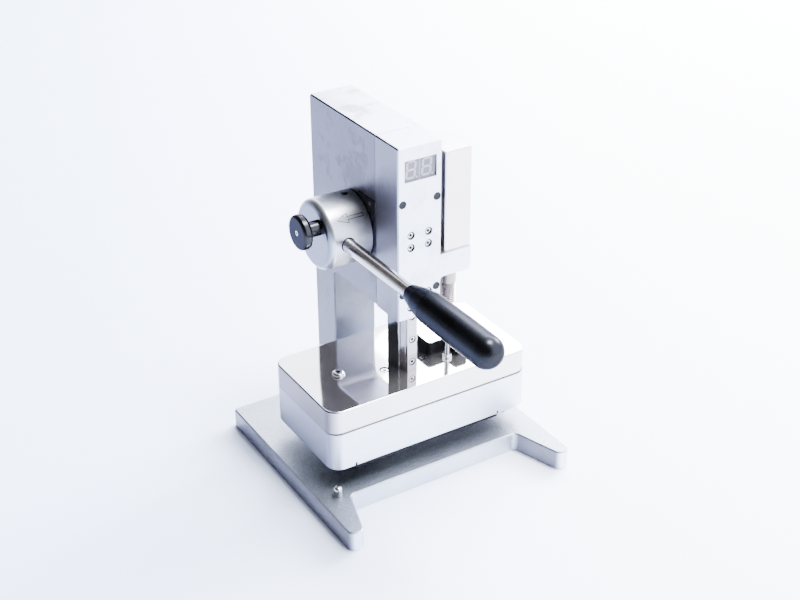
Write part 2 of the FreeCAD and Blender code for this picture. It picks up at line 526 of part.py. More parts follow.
hub_tools = [
    cyl("hub_cavity", "-x", "hub_in+1", "axis_y", "axis_z", 20.5, 14.45),
    cyl("hub_bore", "-x", -30.0, "axis_y", "axis_z", "stub_rad", 18.0),
    lever_cyl("hub_lever_hole", 14.0, "lever_rad", 20.0),
    cyl("hub_sleeve_hole", "+x", "hub_out-1", "knob_y", "knob_z", 4.8, 14.0),
    cyl("hub_pin_hole", "+x", "hub_out-1", "knob_y", "knob_z", 2.4, 32.0),
    cyl("hub_set_hole", "+z", -28.2, "axis_y", "axis_z+20", 2.5, 10.0),
    cyl("hub_face_hole", "+x", "hub_out-1", 31.9, 184.9, 2.0, 9.0),
]
node(cut("lever_hub_solid", hub_soft, *hub_tools), "lever_hub")

index_holes = []
r_index = math.hypot(D["knob_y"] - D["axis_y"], D["knob_z"] - D["axis_z"])
a_index = math.atan2(D["knob_z"] - D["axis_z"], D["knob_y"] - D["axis_y"])
for k in range(12):
    a = a_index + math.radians(30 * k)
    index_holes.append(cyl("index_hole_%d" % k, "+x", -34.0, D["axis_y"] + r_index * math.cos(a), D["axis_z"] + r_index * math.sin(a), "pull_pin+0.08", 6.0))
node(cut("index_plate_solid", cyl("index_raw", "+x", -32.5, "axis_y", "axis_z", 20.0, 9.5),
         cyl("index_bore", "+x", -33.0, "axis_y", "axis_z", "stub_rad", 12.0), *index_holes), "index_plate")
set_raw = cyl("hub_set_raw", "+z", -28.2, "axis_y", "axis_z+20.2", 2.5, 5.4)
set_screw = cut("hub_set_screw_solid", set_raw, hexa("hub_set_key", "+z", -28.2, "axis_y", "axis_z+23", 1.45, 4.0))
face_raw = cyl("hub_face_raw", "+x", "hub_out+0.6", 31.9, 184.9, 2.0, 7.0)
face_screw = cut("hub_face_screw_solid", face_raw, hexa("hub_face_key", "+x", "hub_out", 31.9, 184.9, 1.15, 3.0))
node(group("hub_screws", [set_screw, face_screw]), "hub_set_screws")

grip_len = D["axis_y"] - D["grip_end"]
grip_0 = D["axis_y"] - D["grip_start"]
rod_raw = lever_cyl("rod_raw", 14.2, "lever_rad", 105.3)
rod_neck = lever_cyl("rod_neck", 119.5, 4.4, 55.0)
node(soften("Chamfer", "lever_rod_solid", fuse("rod_fuse", rod_raw, rod_neck), 0.5, lambda e, b: b.YMin > D["axis_y"] - 16), "lever_rod")
grip_a = lever_cone("grip_a", grip_0, 6.6, 9.4, 11.0)
grip_b = lever_cone("grip_b", grip_0 + 11.0, 9.4, 11.5, 13.0)
grip_m = lever_cone("grip_m", grip_0 + 24.0, 11.5, 11.9, 36.0)
grip_c = lever_cone("grip_c", grip_0 + 60.0, 11.9, 11.6, grip_len - grip_0 - 60.0)
grip_fuse = fuse("grip_fuse", grip_a, grip_b, grip_m, grip_c)
grip_dome = soften("Fillet", "grip_dome", grip_fuse, 11.0, lambda e, b: e.Curve.TypeId == "Part::GeomCircle" and near(e.Curve.Radius, 11.6, 0.01))
insert_raw = lever_cyl("insert_raw", 119.7, 6.4, 50.0)
insert_cut = cut("insert_cut", insert_raw, lever_cyl("insert_hole", 117.0, 4.4, 65.2))
node(insert_cut, "grip_insert")
node(cut("lever_grip_solid", grip_dome, lever_cyl("grip_hole_a", 100.0, "lever_rad", 19.7), lever_cyl("grip_hole_b", 119.7, 6.4, 50.0),
         lever_cyl("grip_hole_c", 168.0, 4.4, 7.5)), "lever_grip")

# ---------------------------------------------------------------- index plunger
sleeve_neck = cyl("sleeve_neck", "+x", -66.0, "knob_y", "knob_z", 6.0, 10.0)
sleeve_soft = soften("Chamfer", "sleeve_soft", sleeve_neck, 0.5, lambda e, b: near(b.XMax, -66.0))
sleeve_thread = cyl("sleeve_thread", "+x", -56.0, "knob_y", "knob_z", 4.8, 13.0)
node(cut("plunger_sleeve_solid", fuse("sleeve_fuse", sleeve_soft, sleeve_thread),
         cyl("sleeve_chamber", "+x", -64.0, "knob_y", "knob_z", 3.7, 18.0), cyl("sleeve_bore", "+x", -70.0, "knob_y", "knob_z", "pull_pin+0.08", 40.0)), "plunger_sleeve")
pin_long = cyl("pull_pin_long", "+x", -72.0, "knob_y", "knob_z", "pull_pin", 42.5)
pin_collar = cyl("pull_pin_collar", "+x", -49.6, "knob_y", "knob_z", 3.2, 2.0)
pin_all = fuse("pull_pin_all", pin_long, pin_collar)
node(soften("Chamfer", "plunger_pin_solid", pin_all, 0.6, lambda e, b: near(b.XMin, -29.5)), "plunger_pin")
knob_raw = cyl("knob_raw", "-x", "knob_back", "knob_y", "knob_z", "knob_rad", "knob_back-knob_face")
knob_soft = soften("Fillet", "knob_soft", knob_raw, 2.6, lambda e, b: b.YLength > 20 and (near(b.XMin, D["knob_face"]) or near(b.XMin, D["knob_back"])))
node(cut("plunger_knob_solid", knob_soft, cyl("knob_bore", "-x", -60.0, "knob_y", "knob_z", "pull_pin", 12.0), cyl("knob_sink", "+x", "knob_face-1", "knob_y", "knob_z", 2.6, 3.0)), "plunger_knob")
knob_screw_raw = cyl("knob_screw_raw", "+x", "knob_face+0.3", "knob_y", "knob_z", 2.6, 1.7)
node(cut("knob_screw_solid", knob_screw_raw, hexa("knob_screw_key", "+x", "knob_face", "knob_y", "knob_z", 1.2, 1.6)), "knob_screw")


def coil(name, x, y, z, mean, wire, length, turns, way):
    """Compression spring: a swept helix with a round wire, starting at x, y, z."""
    helix = Part.makeHelix(length / turns, length, mean)
    start = V(mean, 0, 0)
    prof = Part.Wire([Part.makeCircle(wire, start, V(0, 1, 0))])
    shape = Part.Wire(helix.Edges).makePipeShell([prof], True, True)
    o = solid(name, shape)
    o.Placement = FreeCAD.Placement(V(x, y, z), TURN[way])
    return o


node(coil("plunger_spring_solid", -63.5, D["knob_y"], D["knob_z"], 2.75, 0.35, 13.4, 6.0, "+x"), "plunger_spring")

# ---------------------------------------------------------------- return rod, guide and spring


def thread_shape(rad, low, high, pitch, bore):
    """External thread drawn as closed rings, with a plain bore."""
    n = int((high - low) / pitch)
    step = (high - low) / n
    pts = [V(bore, 0, low), V(rad - 0.55, 0, low)]
    for k in range(n):
        pts += [V(rad, 0, low + step * (k + 0.38)), V(rad, 0, low + step * (k + 0.62)), V(rad - 0.75, 0, low + step * (k + 1))]
    pts += [V(bore, 0, high)]
    face = Part.Face(Part.makePolygon(pts + [pts[0]]))
    return face.revolve(V(0, 0, 0), V(0, 0, 1), 360)


guide_thread = solid("guide_thread", thread_shape(D["guide_rad"], D["guide_low"], D["collar_low"], 1.5, 3.0))
guide_thread.Placement = FreeCAD.Placement(V(D["rod_x"], D["rod_y"], 0), FreeCAD.Rotation())
guide_top = cyl("guide_top", "+z", "rod_x", "rod_y", "collar_low", "guide_rad", "wing_top-collar_low")
guide_head = cyl("guide_head", "+z", "rod_x", "rod_y", "wing_top", 9.0, "spring_low-wing_top")
guide_core = cyl("guide_core", "+z", "rod_x", "rod_y", "guide_low", 3.4, 10.0)
guide_bore = cyl("guide_bore", "+z", "rod_x", "rod_y", "guide_low-1", "rod_rad+0.08", 60.0)
node(cut("return_guide_solid", fuse("guide_fuse", guide_thread, guide_top, guide_head, guide_core), guide_bore), "return_guide")
rod_main = cyl("return_rod_main", "+z", "rod_x", "rod_y", "cov_top-8", "rod_rad", "spring_high-cov_top+12")
rod_cap = cyl("return_rod_cap", "+z", "rod_x", "rod_y", "spring_high", 7.0, 2.5)
node(fuse("return_rod_solid", rod_main, rod_cap), "return_rod")
node(coil("return_spring_solid", D["rod_x"], D["rod_y"], D["spring_low"] + 1.05, 5.0, 1.0, 37.9, 8.0, "+z"), "return_spring")
nut_raw = fuse("nut_raw", hexa("nut_hex", "+z", "rod_x", "rod_y", "cov_top", 4.05, 3.2), cyl("nut_skirt", "+z", "rod_x", "rod_y", "cov_top", 4.3, 0.8))
node(cut("rod_nut_solid", nut_raw, cyl("nut_hole", "+z", "rod_x", "rod_y", "cov_top-1", "rod_rad", 8.0)), "rod_nut")

# side housing over the spring
side_raw = box("side_raw", "box_left", "box_right", "box_front", "box_back", "wing_top", "box_top")
side_posts = soften("Fillet", "side_posts", side_raw, 1.4, lambda e, b: b.ZLength > 50)
side_soft = soften("Fillet", "side_soft", side_posts, 0.9, lambda e, b: near(b.ZMin, D["box_top"], 0.01))
node(cut("side_housing_solid", side_soft, box("side_inside", "box_left+box_wall", "box_right-box_wall", "box_front+box_wall", "box_back-box_wall", "wing_top-1", "box_top-box_wall")), "side_housing")

# ---------------------------------------------------------------- heated platen


def slab(name, x0, x1, y0, y1, z0, z1, rad):
    raw = box(name + "_raw", x0, x1, y0, y1, z0, z1)
    return soften("Fillet", name, raw, rad, lambda e, b: b.XLength < 0.01 and b.YLength < 0.01)


cover_slab = slab("cover_slab", "cov_left", "cov_right", "cov_front", "cov_back", "cov_low", "cov_top", D["cov_round"])
cover_soft = soften("Fillet", "cover_soft", cover_slab, 1.2, lambda e, b: near(b.ZMin, D["cov_top"]) and near(b.ZMax, D["cov_top"]))
cover_in = slab("cover_in", "cov_left+3", "cov_right-3", "cov_front+3", "cov_back-3", "cov_low-1", "cov_top-6", D["cov_round"] - 3)
cover_tools = [cover_in, box("cover_bar_hole", "-bar_half-0.15", "bar_half+0.15", "bar_front-0.15", "bar_back+0.15", 60.0, 90.0)]
cover_tools.append(cyl("cover_rod_hole", "+z", "rod_x", "rod_y", 60.0, "rod_rad", 30.0))
foot_screw_x = 17.65
for i, s in enumerate((-1, 1)):
    cover_tools.append(cyl("cover_bore_%d" % i, "+z", s * foot_screw_x, -8.6, "cov_top-4.4", 4.2, 6.0))
    cover_tools.append(cyl("cover_pass_%d" % i, "+z", s * foot_screw_x, -8.6, 60.0, 2.1, 30.0))
button_spots = ((-51.3, 4.4), (62.3, 4.4))
for i, (bx, by) in enumerate(button_spots):
    cover_tools.append(cyl("cover_button_%d" % i, "+z", bx, by, 60.0, 2.5, 30.0))
cover_tools.append(cyl("cover_wire", "+z", 44.0, 6.0, 60.0, 4.0, 30.0))
node(cut("platen_cover_solid", cover_soft, *cover_tools), "platen_cover")

node(group("foot_screws", [socket_screw("foot_screw_%d" % i, "-z", s * foot_screw_x, -8.6, "cov_top-0.5", 3.5, 3.9, 2.0, 11.0, 1.75) for i, s in enumerate((-1, 1))]), "foot_screws")
buttons = []
for i, (bx, by) in enumerate(button_spots):
    dome = soften("Fillet", "button_dome_%d" % i, cyl("button_head_%d" % i, "+z", bx, by, "cov_top", 5.0, 2.7), 2.4, lambda e, b: near(b.ZMin, D["cov_top"] + 2.7))
    blank = fuse("button_blank_%d" % i, dome, cyl("button_shank_%d" % i, "-z", bx, by, "cov_top", 2.5, 25.0))
    buttons.append(cut("button_%d" % i, blank, hexa("button_key_%d" % i, "+z", bx, by, "cov_top+1", 1.75, 3.0)))
node(group("cover_screws", buttons), "cover_screws")

foot_raw = box("foot_raw", -26.0, 26.0, -20.0, 8.0, "cov_low", "cov_top-6")
node(cut("slide_foot_solid", foot_raw, box("foot_bar_pocket", "-bar_half", "bar_half", "bar_front", "bar_back", "bar_low", 90.0),
         cyl("foot_bolt_pass", "+z", 0.0, -6.3, 60.0, 2.5, 20.0), cyl("foot_bolt_bore", "+z", 0.0, -6.3, 60.0, 4.3, 6.2),
         cyl("foot_tap_0", "+z", -foot_screw_x, -8.6, 60.0, 2.0, 30.0), cyl("foot_tap_1", "+z", foot_screw_x, -8.6, 60.0, 2.0, 30.0)), "slide_foot")
node(socket_screw("slide_bolt_solid", "+z", 0.0, -6.3, "cov_low+0.2", 4.2, 2.7, 2.5, 12.0, 2.0), "slide_bolt")

shell_out = slab("shell_out", "cov_left", "cov_right", "cov_front-shell_grow", "cov_back", "shell_low", "cov_low", D["cov_round"])
shell_soft = soften("Fillet", "shell_soft", shell_out, 0.8, lambda e, b: b.ZLength < 0.01)
shell_in = slab("shell_in", "cov_left+shell_wall", "cov_right-shell_wall", "cov_front-shell_grow+shell_wall", "cov_back-shell_wall",
                "shell_low-1", "cov_low+1", D["cov_round"] - D["shell_wall"])
shell_tools = [shell_in]
for i, nx in enumerate((-64.0, 66.4)):
    shell_tools.append(box("shell_notch_%d" % i, nx - 0.9, nx + 0.9, -60.0, 60.0, 20.0, "shell_low+3.2"))
node(cut("platen_shell_solid", shell_soft, *shell_tools), "platen_shell")

in_l, in_r = "cov_left+shell_wall", "cov_right-shell_wall"
in_f, in_b = "cov_front-shell_grow+shell_wall", "cov_back-shell_wall"
in_round = D["cov_round"] - D["shell_wall"]
spacer_spots = ((-60.0, -26.0), (-60.0, 34.0), (71.0, -26.0), (71.0, 34.0))
top_slab = slab("top_slab", in_l, in_r, in_f, in_b, 57.3, "cov_low", in_round)
top_tools = [cyl("top_tap_%d" % i, "+z", bx, by, 50.0, 2.5, 20.0) for i, (bx, by) in enumerate(button_spots)]
top_tools += [cyl("top_foot_tap_%d" % i, "+z", s * foot_screw_x, -8.6, 50.0, 2.0, 20.0) for i, s in enumerate((-1, 1))]
top_tools.append(cyl("top_wire", "+z", 44.0, 6.0, 50.0, 4.0, 20.0))
node(cut("platen_top_plate_solid", top_slab, *top_tools), "platen_top_plate")
board = slab("board_slab", in_l, in_r, in_f, in_b, 45.3, 57.3, in_round)
board_tools = [cyl("board_hole_%d" % i, "+z", sx, sy, 40.0, 5.0, 20.0) for i, (sx, sy) in enumerate(spacer_spots)]
board_tools += [cyl("board_clear_%d" % i, "+z", bx, by, 56.0, 4.0, 5.0) for i, (bx, by) in enumerate(button_spots)]
board_tools.append(cyl("board_wire", "+z", 44.0, 6.0, 40.0, 5.0, 20.0))
node(cut("insulation_board_solid", board, *board_tools), "insulation_board")
node(group("platen_spacers", [cyl("spacer_%d" % i, "+z", sx, sy, 45.3, 5.0, 12.0) for i, (sx, sy) in enumerate(spacer_spots)]), "platen_spacers")
heat_slab = slab("heat_slab", in_l, in_r, in_f, in_b, 33.3, 45.3, in_round)
heater_y = (-22.0, 4.3, 30.0)
heat_tools = [cyl("heater_bore_%d" % i, "+x", -70.0, hy, 39.3, 4.0, 190.0) for i, hy in enumerate(heater_y)]
heat_tools.append(cyl("probe_bore", "-z", 44.0, 17.0, 50.0, 1.6, 10.0))
node(cut("heater_plate_solid", heat_slab, *heat_tools), "heater_plate")
node(group("cartridge_heaters", [cyl("heater_%d" % i, "+x", -70.0, hy, 39.3, 4.0, 150.0) for i, hy in enumerate(heater_y)]), "cartridge_heaters")
node(cyl("temperature_probe_solid", "-z", 44.0, 17.0, 45.3, 1.6, 5.3), "temperature_probe")

press_raw = box("press_raw", "cov_left+shell_wall", "cov_right-shell_wall", "cov_front-0.6", 21.0, "face_low", 33.3)
press_slab = cut("press_slab", press_raw,
                 box("press_corner_l", "cov_left-2", -64.0, "cov_front-4", -28.0, 20.0, 40.0),
                 box("press_corner_r", 66.4, "cov_right+2", "cov_front-4", -28.0, 20.0, 40.0))
press_trim = cut("press_trim", press_slab, box("press_lip", "cov_left-2", "cov_right+2", "cov_front-4", "cov_front-shell_grow+shell_wall", "shell_low", 40.0))
node(press_trim, "press_plate")
bumper_spots = ((-75.4, 27.3), (86.4, 27.3), (-72.0, -34.6), (74.5, -34.6))
node(group("platen_bumpers", [soften("Fillet", "bumper_%d" % i, cyl("bumper_raw_%d" % i, "+z", bx, by, "pad_low", 6.0, 33.3 - D["pad_low"]), 0.8,
                                     lambda e, b: near(b.ZMax, D["pad_low"])) for i, (bx, by) in enumerate(bumper_spots)]), "platen_bumpers")

# heater terminal box on the cover, behind the return rod
term_main = slab("term_main", 22.0, 52.0, -10.0, 18.0, "cov_top", "cov_top+10.6", 3.0)
term_ear = slab("term_ear", 39.6, 52.0, -21.2, 0.0, "cov_top", "cov_top+10.6", 3.0)
term_fuse = fuse("term_fuse", term_main, term_ear)
node(cut("terminal_box_solid", term_fuse, box("term_inside", 24.5, 49.5, -7.5, 15.5, "cov_top-1", "cov_top+9")), "terminal_box")
lid_main = slab("lid_main", 22.3, 51.7, -9.7, 17.7, "cov_top+10.6", "cov_top+11.6", 2.8)
lid_ear = slab("lid_ear", 39.9, 51.7, -20.9, 0.0, "cov_top+10.6", "cov_top+11.6", 2.8)
node(fuse("terminal_lid_solid", lid_main, lid_ear), "terminal_lid")

# ---------------------------------------------------------------- checks and output
doc.recompute()
for obj in doc.Objects:
    if "Invalid" in obj.State or "Error" in obj.State:
        raise RuntimeError("object failed: %s %s" % (obj.Name, obj.State))
for obj in NODES:
    if obj.Shape.isNull() or not obj.Shape.isValid() or obj.Shape.Volume <= 0 or not obj.Shape.Solids:
        raise RuntimeError("bad shape: " + obj.Label)
os.makedirs("parts", exist_ok=True)
for old in os.listdir("parts"):
    if old.endswith(".step"):
        os.remove(os.path.join("parts", old))
for obj in NODES:
    obj.Shape.exportStep(os.path.join("parts", obj.Label + ".step"))
print("nodes", len(NODES))
for obj in NODES:
    b = obj.Shape.BoundBox
    print("%-20s solids %2d vol %10.1f  x %.1f %.1f y %.1f %.1f z %.1f %.1f" % (obj.Label, len(obj.Shape.Solids), obj.Shape.Volume, b.XMin, b.XMax, b.YMin, b.YMax, b.ZMin, b.ZMax))
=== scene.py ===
import bpy, math
from mathutils import Matrix, Vector


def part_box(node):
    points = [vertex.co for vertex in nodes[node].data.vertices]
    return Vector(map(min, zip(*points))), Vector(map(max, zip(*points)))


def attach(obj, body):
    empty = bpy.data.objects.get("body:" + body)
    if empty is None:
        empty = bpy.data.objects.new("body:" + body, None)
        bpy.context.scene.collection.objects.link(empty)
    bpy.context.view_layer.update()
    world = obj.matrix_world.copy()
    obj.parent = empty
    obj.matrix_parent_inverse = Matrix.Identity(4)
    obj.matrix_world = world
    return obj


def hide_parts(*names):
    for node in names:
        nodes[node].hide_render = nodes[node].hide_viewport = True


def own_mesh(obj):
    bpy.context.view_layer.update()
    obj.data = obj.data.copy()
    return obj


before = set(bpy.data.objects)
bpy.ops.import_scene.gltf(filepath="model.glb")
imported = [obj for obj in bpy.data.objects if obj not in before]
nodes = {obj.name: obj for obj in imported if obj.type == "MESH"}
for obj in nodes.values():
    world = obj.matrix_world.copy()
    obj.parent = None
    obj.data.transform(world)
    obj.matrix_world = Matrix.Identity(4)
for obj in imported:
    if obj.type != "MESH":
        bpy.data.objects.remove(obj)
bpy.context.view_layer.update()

scene = bpy.context.scene

# ------------------------------------------------------------------ camera
YAW, PITCH, ROLL, FOCAL = 0.554, 0.514, -0.004, 1388.438
fwd = Vector((math.sin(YAW) * math.cos(PITCH), math.cos(YAW) * math.cos(PITCH), -math.sin(PITCH)))
right = Vector((math.cos(YAW), -math.sin(YAW), 0.0))
up = right.cross(fwd)
r2 = right * math.cos(ROLL) + up * math.sin(ROLL)
u2 = up * math.cos(ROLL) - right * math.sin(ROLL)
cam_data = bpy.data.cameras.new("camera")
cam = bpy.data.objects.new("camera", cam_data)
scene.collection.objects.link(cam)
cam_data.sensor_fit = "HORIZONTAL"
cam_data.sensor_width = 36.0
cam_data.lens = FOCAL * 36.0 / 800.0
cam_data.clip_start, cam_data.clip_end = 0.01, 60.0
cam.matrix_world = Matrix(((r2.x, u2.x, -fwd.x, -0.485102), (r2.y, u2.y, -fwd.y, -0.787407), (r2.z, u2.z, -fwd.z, 0.657391), (0, 0, 0, 1)))
scene.camera = cam


# ------------------------------------------------------------------ node helpers
class Tree:
    """A material under construction: short calls that add nodes and join them."""

    def __init__(self, name):
        self.mat = bpy.data.materials.new(name)
        self.mat.use_nodes = True
        self.nt = self.mat.node_tree
        self.nt.nodes.clear()
        self.out = self.nt.nodes.new("ShaderNodeOutputMaterial")
        self.bsdf = self.nt.nodes.new("ShaderNodeBsdfPrincipled")
        self.nt.links.new(self.bsdf.outputs["BSDF"], self.out.inputs["Surface"])
        self.co = self.nt.nodes.new("ShaderNodeTexCoord").outputs["Object"]

    def link(self, a, b):
        self.nt.links.new(a, b)

    def put(self, sock, value):
        s = self.bsdf.inputs[sock]
        if hasattr(value, "is_output"):
            self.link(value, s)
        else:
            s.default_value = value

    def mapped(self, scale=(1, 1, 1), loc=(0, 0, 0), rot=(0, 0, 0)):
        m = self.nt.nodes.new("ShaderNodeMapping")
        m.inputs["Scale"].default_value = scale
        m.inputs["Location"].default_value = loc
        m.inputs["Rotation"].default_value = rot
        self.link(self.co, m.inputs["Vector"])
        return m.outputs["Vector"]

    def noise(self, scale, detail=3.0, rough=0.55, vec=None, distort=0.0):
        n = self.nt.nodes.new("ShaderNodeTexNoise")
        n.inputs["Scale"].default_value = scale
        n.inputs["Detail"].default_value = detail
        n.inputs["Roughness"].default_value = rough
        n.inputs["Distortion"].default_value = distort
        self.link(vec or self.co, n.inputs["Vector"])
        return n.outputs["Fac"]

    def voronoi(self, scale, vec=None, feature="F1"):
        n = self.nt.nodes.new("ShaderNodeTexVoronoi")
        n.feature = feature
        n.inputs["Scale"].default_value = scale
        self.link(vec or self.co, n.inputs["Vector"])
        return n.outputs["Distance"]

    def ramp(self, fac, stops):
        """stops: [(place, grey or colour)]"""
        n = self.nt.nodes.new("ShaderNodeValToRGB")
        els = n.color_ramp.elements
        while len(els) < len(stops):
            els.new(0.5)
        for e, (p, c) in zip(els, stops):
            e.position = p
            e.color = (c, c, c, 1) if not hasattr(c, "__len__") else (c[0], c[1], c[2], 1)
        self.link(fac, n.inputs["Fac"])
        return n.outputs["Color"]

    def mix(self, fac, a, b, mode="MIX"):
        n = self.nt.nodes.new("ShaderNodeMix")
        n.data_type = "RGBA"
        n.blend_type = mode
        n.clamp_factor = True
        for sock, v in ((n.inputs[0], fac), (n.inputs[6], a), (n.inputs[7], b)):
            if hasattr(v, "is_output"):
                self.link(v, sock)
            elif hasattr(v, "__len__"):
                sock.default_value = (v[0], v[1], v[2], 1)
            elif sock.type == "RGBA":
                sock.default_value = (v, v, v, 1)
            else:
                sock.default_value = v
        return n.outputs[2]

    def math(self, op, a, b=0.0, clamp=False):
        n = self.nt.nodes.new("ShaderNodeMath")
        n.operation = op
        n.use_clamp = clamp
        for sock, v in ((n.inputs[0], a), (n.inputs[1], b)):
            if hasattr(v, "is_output"):
                self.link(v, sock)
            else:
                sock.default_value = v
        return n.outputs[0]

    def range(self, v, a, b, c, d):
        n = self.nt.nodes.new("ShaderNodeMapRange")
        n.clamp = True
        self.link(v, n.inputs["Value"])
        for key, val in (("From Min", a), ("From Max", b), ("To Min", c), ("To Max", d)):
            n.inputs[key].default_value = val
        return n.outputs["Result"]

    def xyz(self, vec=None):
        n = self.nt.nodes.new("ShaderNodeSeparateXYZ")
        self.link(vec or self.co, n.inputs[0])
        return n.outputs

    def normal_x(self):
        g = self.nt.nodes.new("ShaderNodeNewGeometry")
        v = self.nt.nodes.new("ShaderNodeVectorTransform")
        v.vector_type, v.convert_from, v.convert_to = "NORMAL", "WORLD", "OBJECT"
        self.link(g.outputs["Normal"], v.inputs[0])
        return self.xyz(v.outputs[0])

    def bump(self, height, strength, distance, normal=None):
        n = self.nt.nodes.new("ShaderNodeBump")
        n.inputs["Strength"].default_value = strength
        n.inputs["Distance"].default_value = distance
        self.link(height, n.inputs["Height"])
        if normal is not None:
            self.link(normal, n.inputs["Normal"])
        return n.outputs["Normal"]


def metal(name, col, rough, grain=None, streak=None, smudge=0.25, spots=0.0, metallic=1.0, side=None, painted_top_tone=None, painted_face_tone=None, tint=None, coat=0.0, aniso=0.0, seed=0.0, side_rough=None, wave=0.0, painted_edge_shade=None, grime=0.0, speckle=0.0, shade=False):
    """Metal with colour drift, handling marks, grain or drawn lines.
    grain = (scale, strength, depth); streak = (scale x, y, z, strength, depth); side, painted_top_tone and
    painted_face_tone = painted shade: colour factors on faces square to X, Z and Y, standing in for how light falls on
    each side."""
    t = Tree(name)
    big = t.noise(22.0, 4.0, 0.6, t.mapped(loc=(seed, 1.7, 0.4)))
    fine = t.noise(260.0, 3.0, 0.6, t.mapped(loc=(seed, 0.0, 2.0)))
    dark = tuple(c * (1 - 0.30 * smudge) for c in col)
    light = tuple(min(1.0, c * (1 + 0.12 * smudge)) for c in col)
    c = t.mix(t.ramp(big, [(0.35, 0.0), (0.68, 1.0)]), dark, light)
    c = t.mix(t.range(fine, 0.3, 0.75, 0.0, 0.35 * smudge), c, tuple(x * 0.72 for x in col))
    if tint:
        patch = t.noise(13.0, 2.0, 0.5, t.mapped(loc=(3.1 + seed, 0.2, 0.9)))
        c = t.mix(t.range(patch, 0.45, 0.75, 0.0, 0.5), c, tint)
    if spots:
        v = t.voronoi(150.0, t.mapped(loc=(seed, 0.3, 0.6)))
        n = t.noise(45.0, 2.0, 0.5, t.mapped(loc=(0.2, seed, 0.1)))
        s = t.math("MULTIPLY", t.range(v, 0.05, 0.13, 1.0, 0.0), t.range(n, 0.52, 0.62, 0.0, 1.0))
        c = t.mix(t.math("MULTIPLY", s, spots), c, tuple(x * 0.45 for x in col))
    # painted shade: faces square to X, Z and Y take fixed colour factors, so each side carries its own light and shade
    # in its colour
    if side or painted_top_tone or painted_face_tone:
        nx, ny, nz = t.normal_x()[:3]
        for v, tone in ((nx, side), (nz, painted_top_tone), (ny, painted_face_tone)):
            if tone:
                c = t.mix(t.range(t.math("ABSOLUTE", v), 0.35, 0.92, 0.0, 1.0), c, tone, "MULTIPLY")
    if speckle:
        sp = t.noise(820.0, 2.0, 0.6, t.mapped(loc=(seed, 0.2, 0.5)))
        c = t.mix(t.math("MULTIPLY", t.range(sp, 0.36, 0.64, speckle, 0.0), t.range(t.normal_x()[2], 0.5, 0.9, 0.0, 1.0)), c, (0.45, 0.46, 0.50), "MULTIPLY")
    if shade:
        # painted shadow: the base colour is darkened over the platen's footprint, where the platen's shadow falls
        x, y, z = t.xyz()[:3]
        shadow_rows = t.math("MULTIPLY", t.range(y, -0.075, -0.036, 0.0, 1.0), t.range(y, 0.02, 0.06, 1.0, 0.0))
        shadow_span = t.math("MULTIPLY", t.range(x, -0.100, -0.070, 0.0, 1.0), t.range(x, 0.060, 0.095, 1.0, 0.0))
        c = t.mix(t.math("MULTIPLY", shadow_rows, shadow_span), c, (0.42, 0.43, 0.46), "MULTIPLY")
    if grime:
        dirt = t.noise(26.0, 7.0, 0.68, t.mapped(loc=(seed + 0.35, 0.8, 0.25)))
        c = t.mix(t.range(dirt, 0.54, 0.62, 0.0, grime), c, (0.46, 0.43, 0.42), "MULTIPLY")
        film = t.noise(9.0, 3.0, 0.5, t.mapped(loc=(seed, 0.15, 0.9)))
        c = t.mix(t.range(film, 0.48, 0.53, 0.0, grime * 0.45), c, (0.62, 0.60, 0.60), "MULTIPLY")
    # painted reflection: the chamfer between the -X side and the top is darkened in colour, standing in for the dark
    # surroundings it reflects
    if painted_edge_shade:
        nx, ny, nz = t.normal_x()[:3]
        on = t.math("MULTIPLY", t.range(nx, -0.50, -0.32, 1.0, 0.0), t.math("MULTIPLY", t.range(nz, 0.22, 0.36, 0.0, 1.0), t.range(nz, 0.90, 0.96, 1.0, 0.0)))
        c = t.mix(on, c, painted_edge_shade, "MULTIPLY")
    t.put("Base Color", c)
    t.put("Metallic", metallic)
    r = t.math("ADD", t.range(big, 0.3, 0.75, rough * (1 - 0.35 * smudge), rough * (1 + 0.45 * smudge)), t.range(fine, 0.3, 0.8, 0.0, 0.06 * smudge))
    if side_rough:
        r = t.math("ADD", r, t.range(t.math("ABSOLUTE", t.normal_x()[2]), 0.6, 0.95, side_rough - rough, 0.0))
    t.put("Roughness", r)
    nrm = None
    if wave:
        nrm = t.bump(t.noise(7.0, 1.0, 0.4, t.mapped(loc=(seed, 0.4, 0.0))), 1.0, wave)
    if streak:
        sx, sy, sz, st, dp = streak
        line = t.noise(1.0, 4.0, 0.7, t.mapped(scale=(sx, sy, sz), loc=(seed, 0, 0)))
        nrm = t.bump(line, st, dp, nrm)
    if grain:
        g = t.noise(grain[0], 2.0, 0.6)
        nrm = t.bump(g, grain[1], grain[2], nrm)
    scr = t.noise(1.0, 5.0, 0.75, t.mapped(scale=(30.0, 30.0, 900.0), rot=(0.5, 0.35, 0.2), loc=(seed, 0, 0)))
    nrm = t.bump(t.range(scr, 0.62, 0.70, 0.0, 1.0), 0.10, 0.00004, nrm)
    t.put("Normal", nrm)
    if coat:
        t.put("Coat Weight", coat)
        t.put("Coat Roughness", 0.08)
    if aniso:
        t.put("Anisotropic", aniso)
    return t.mat


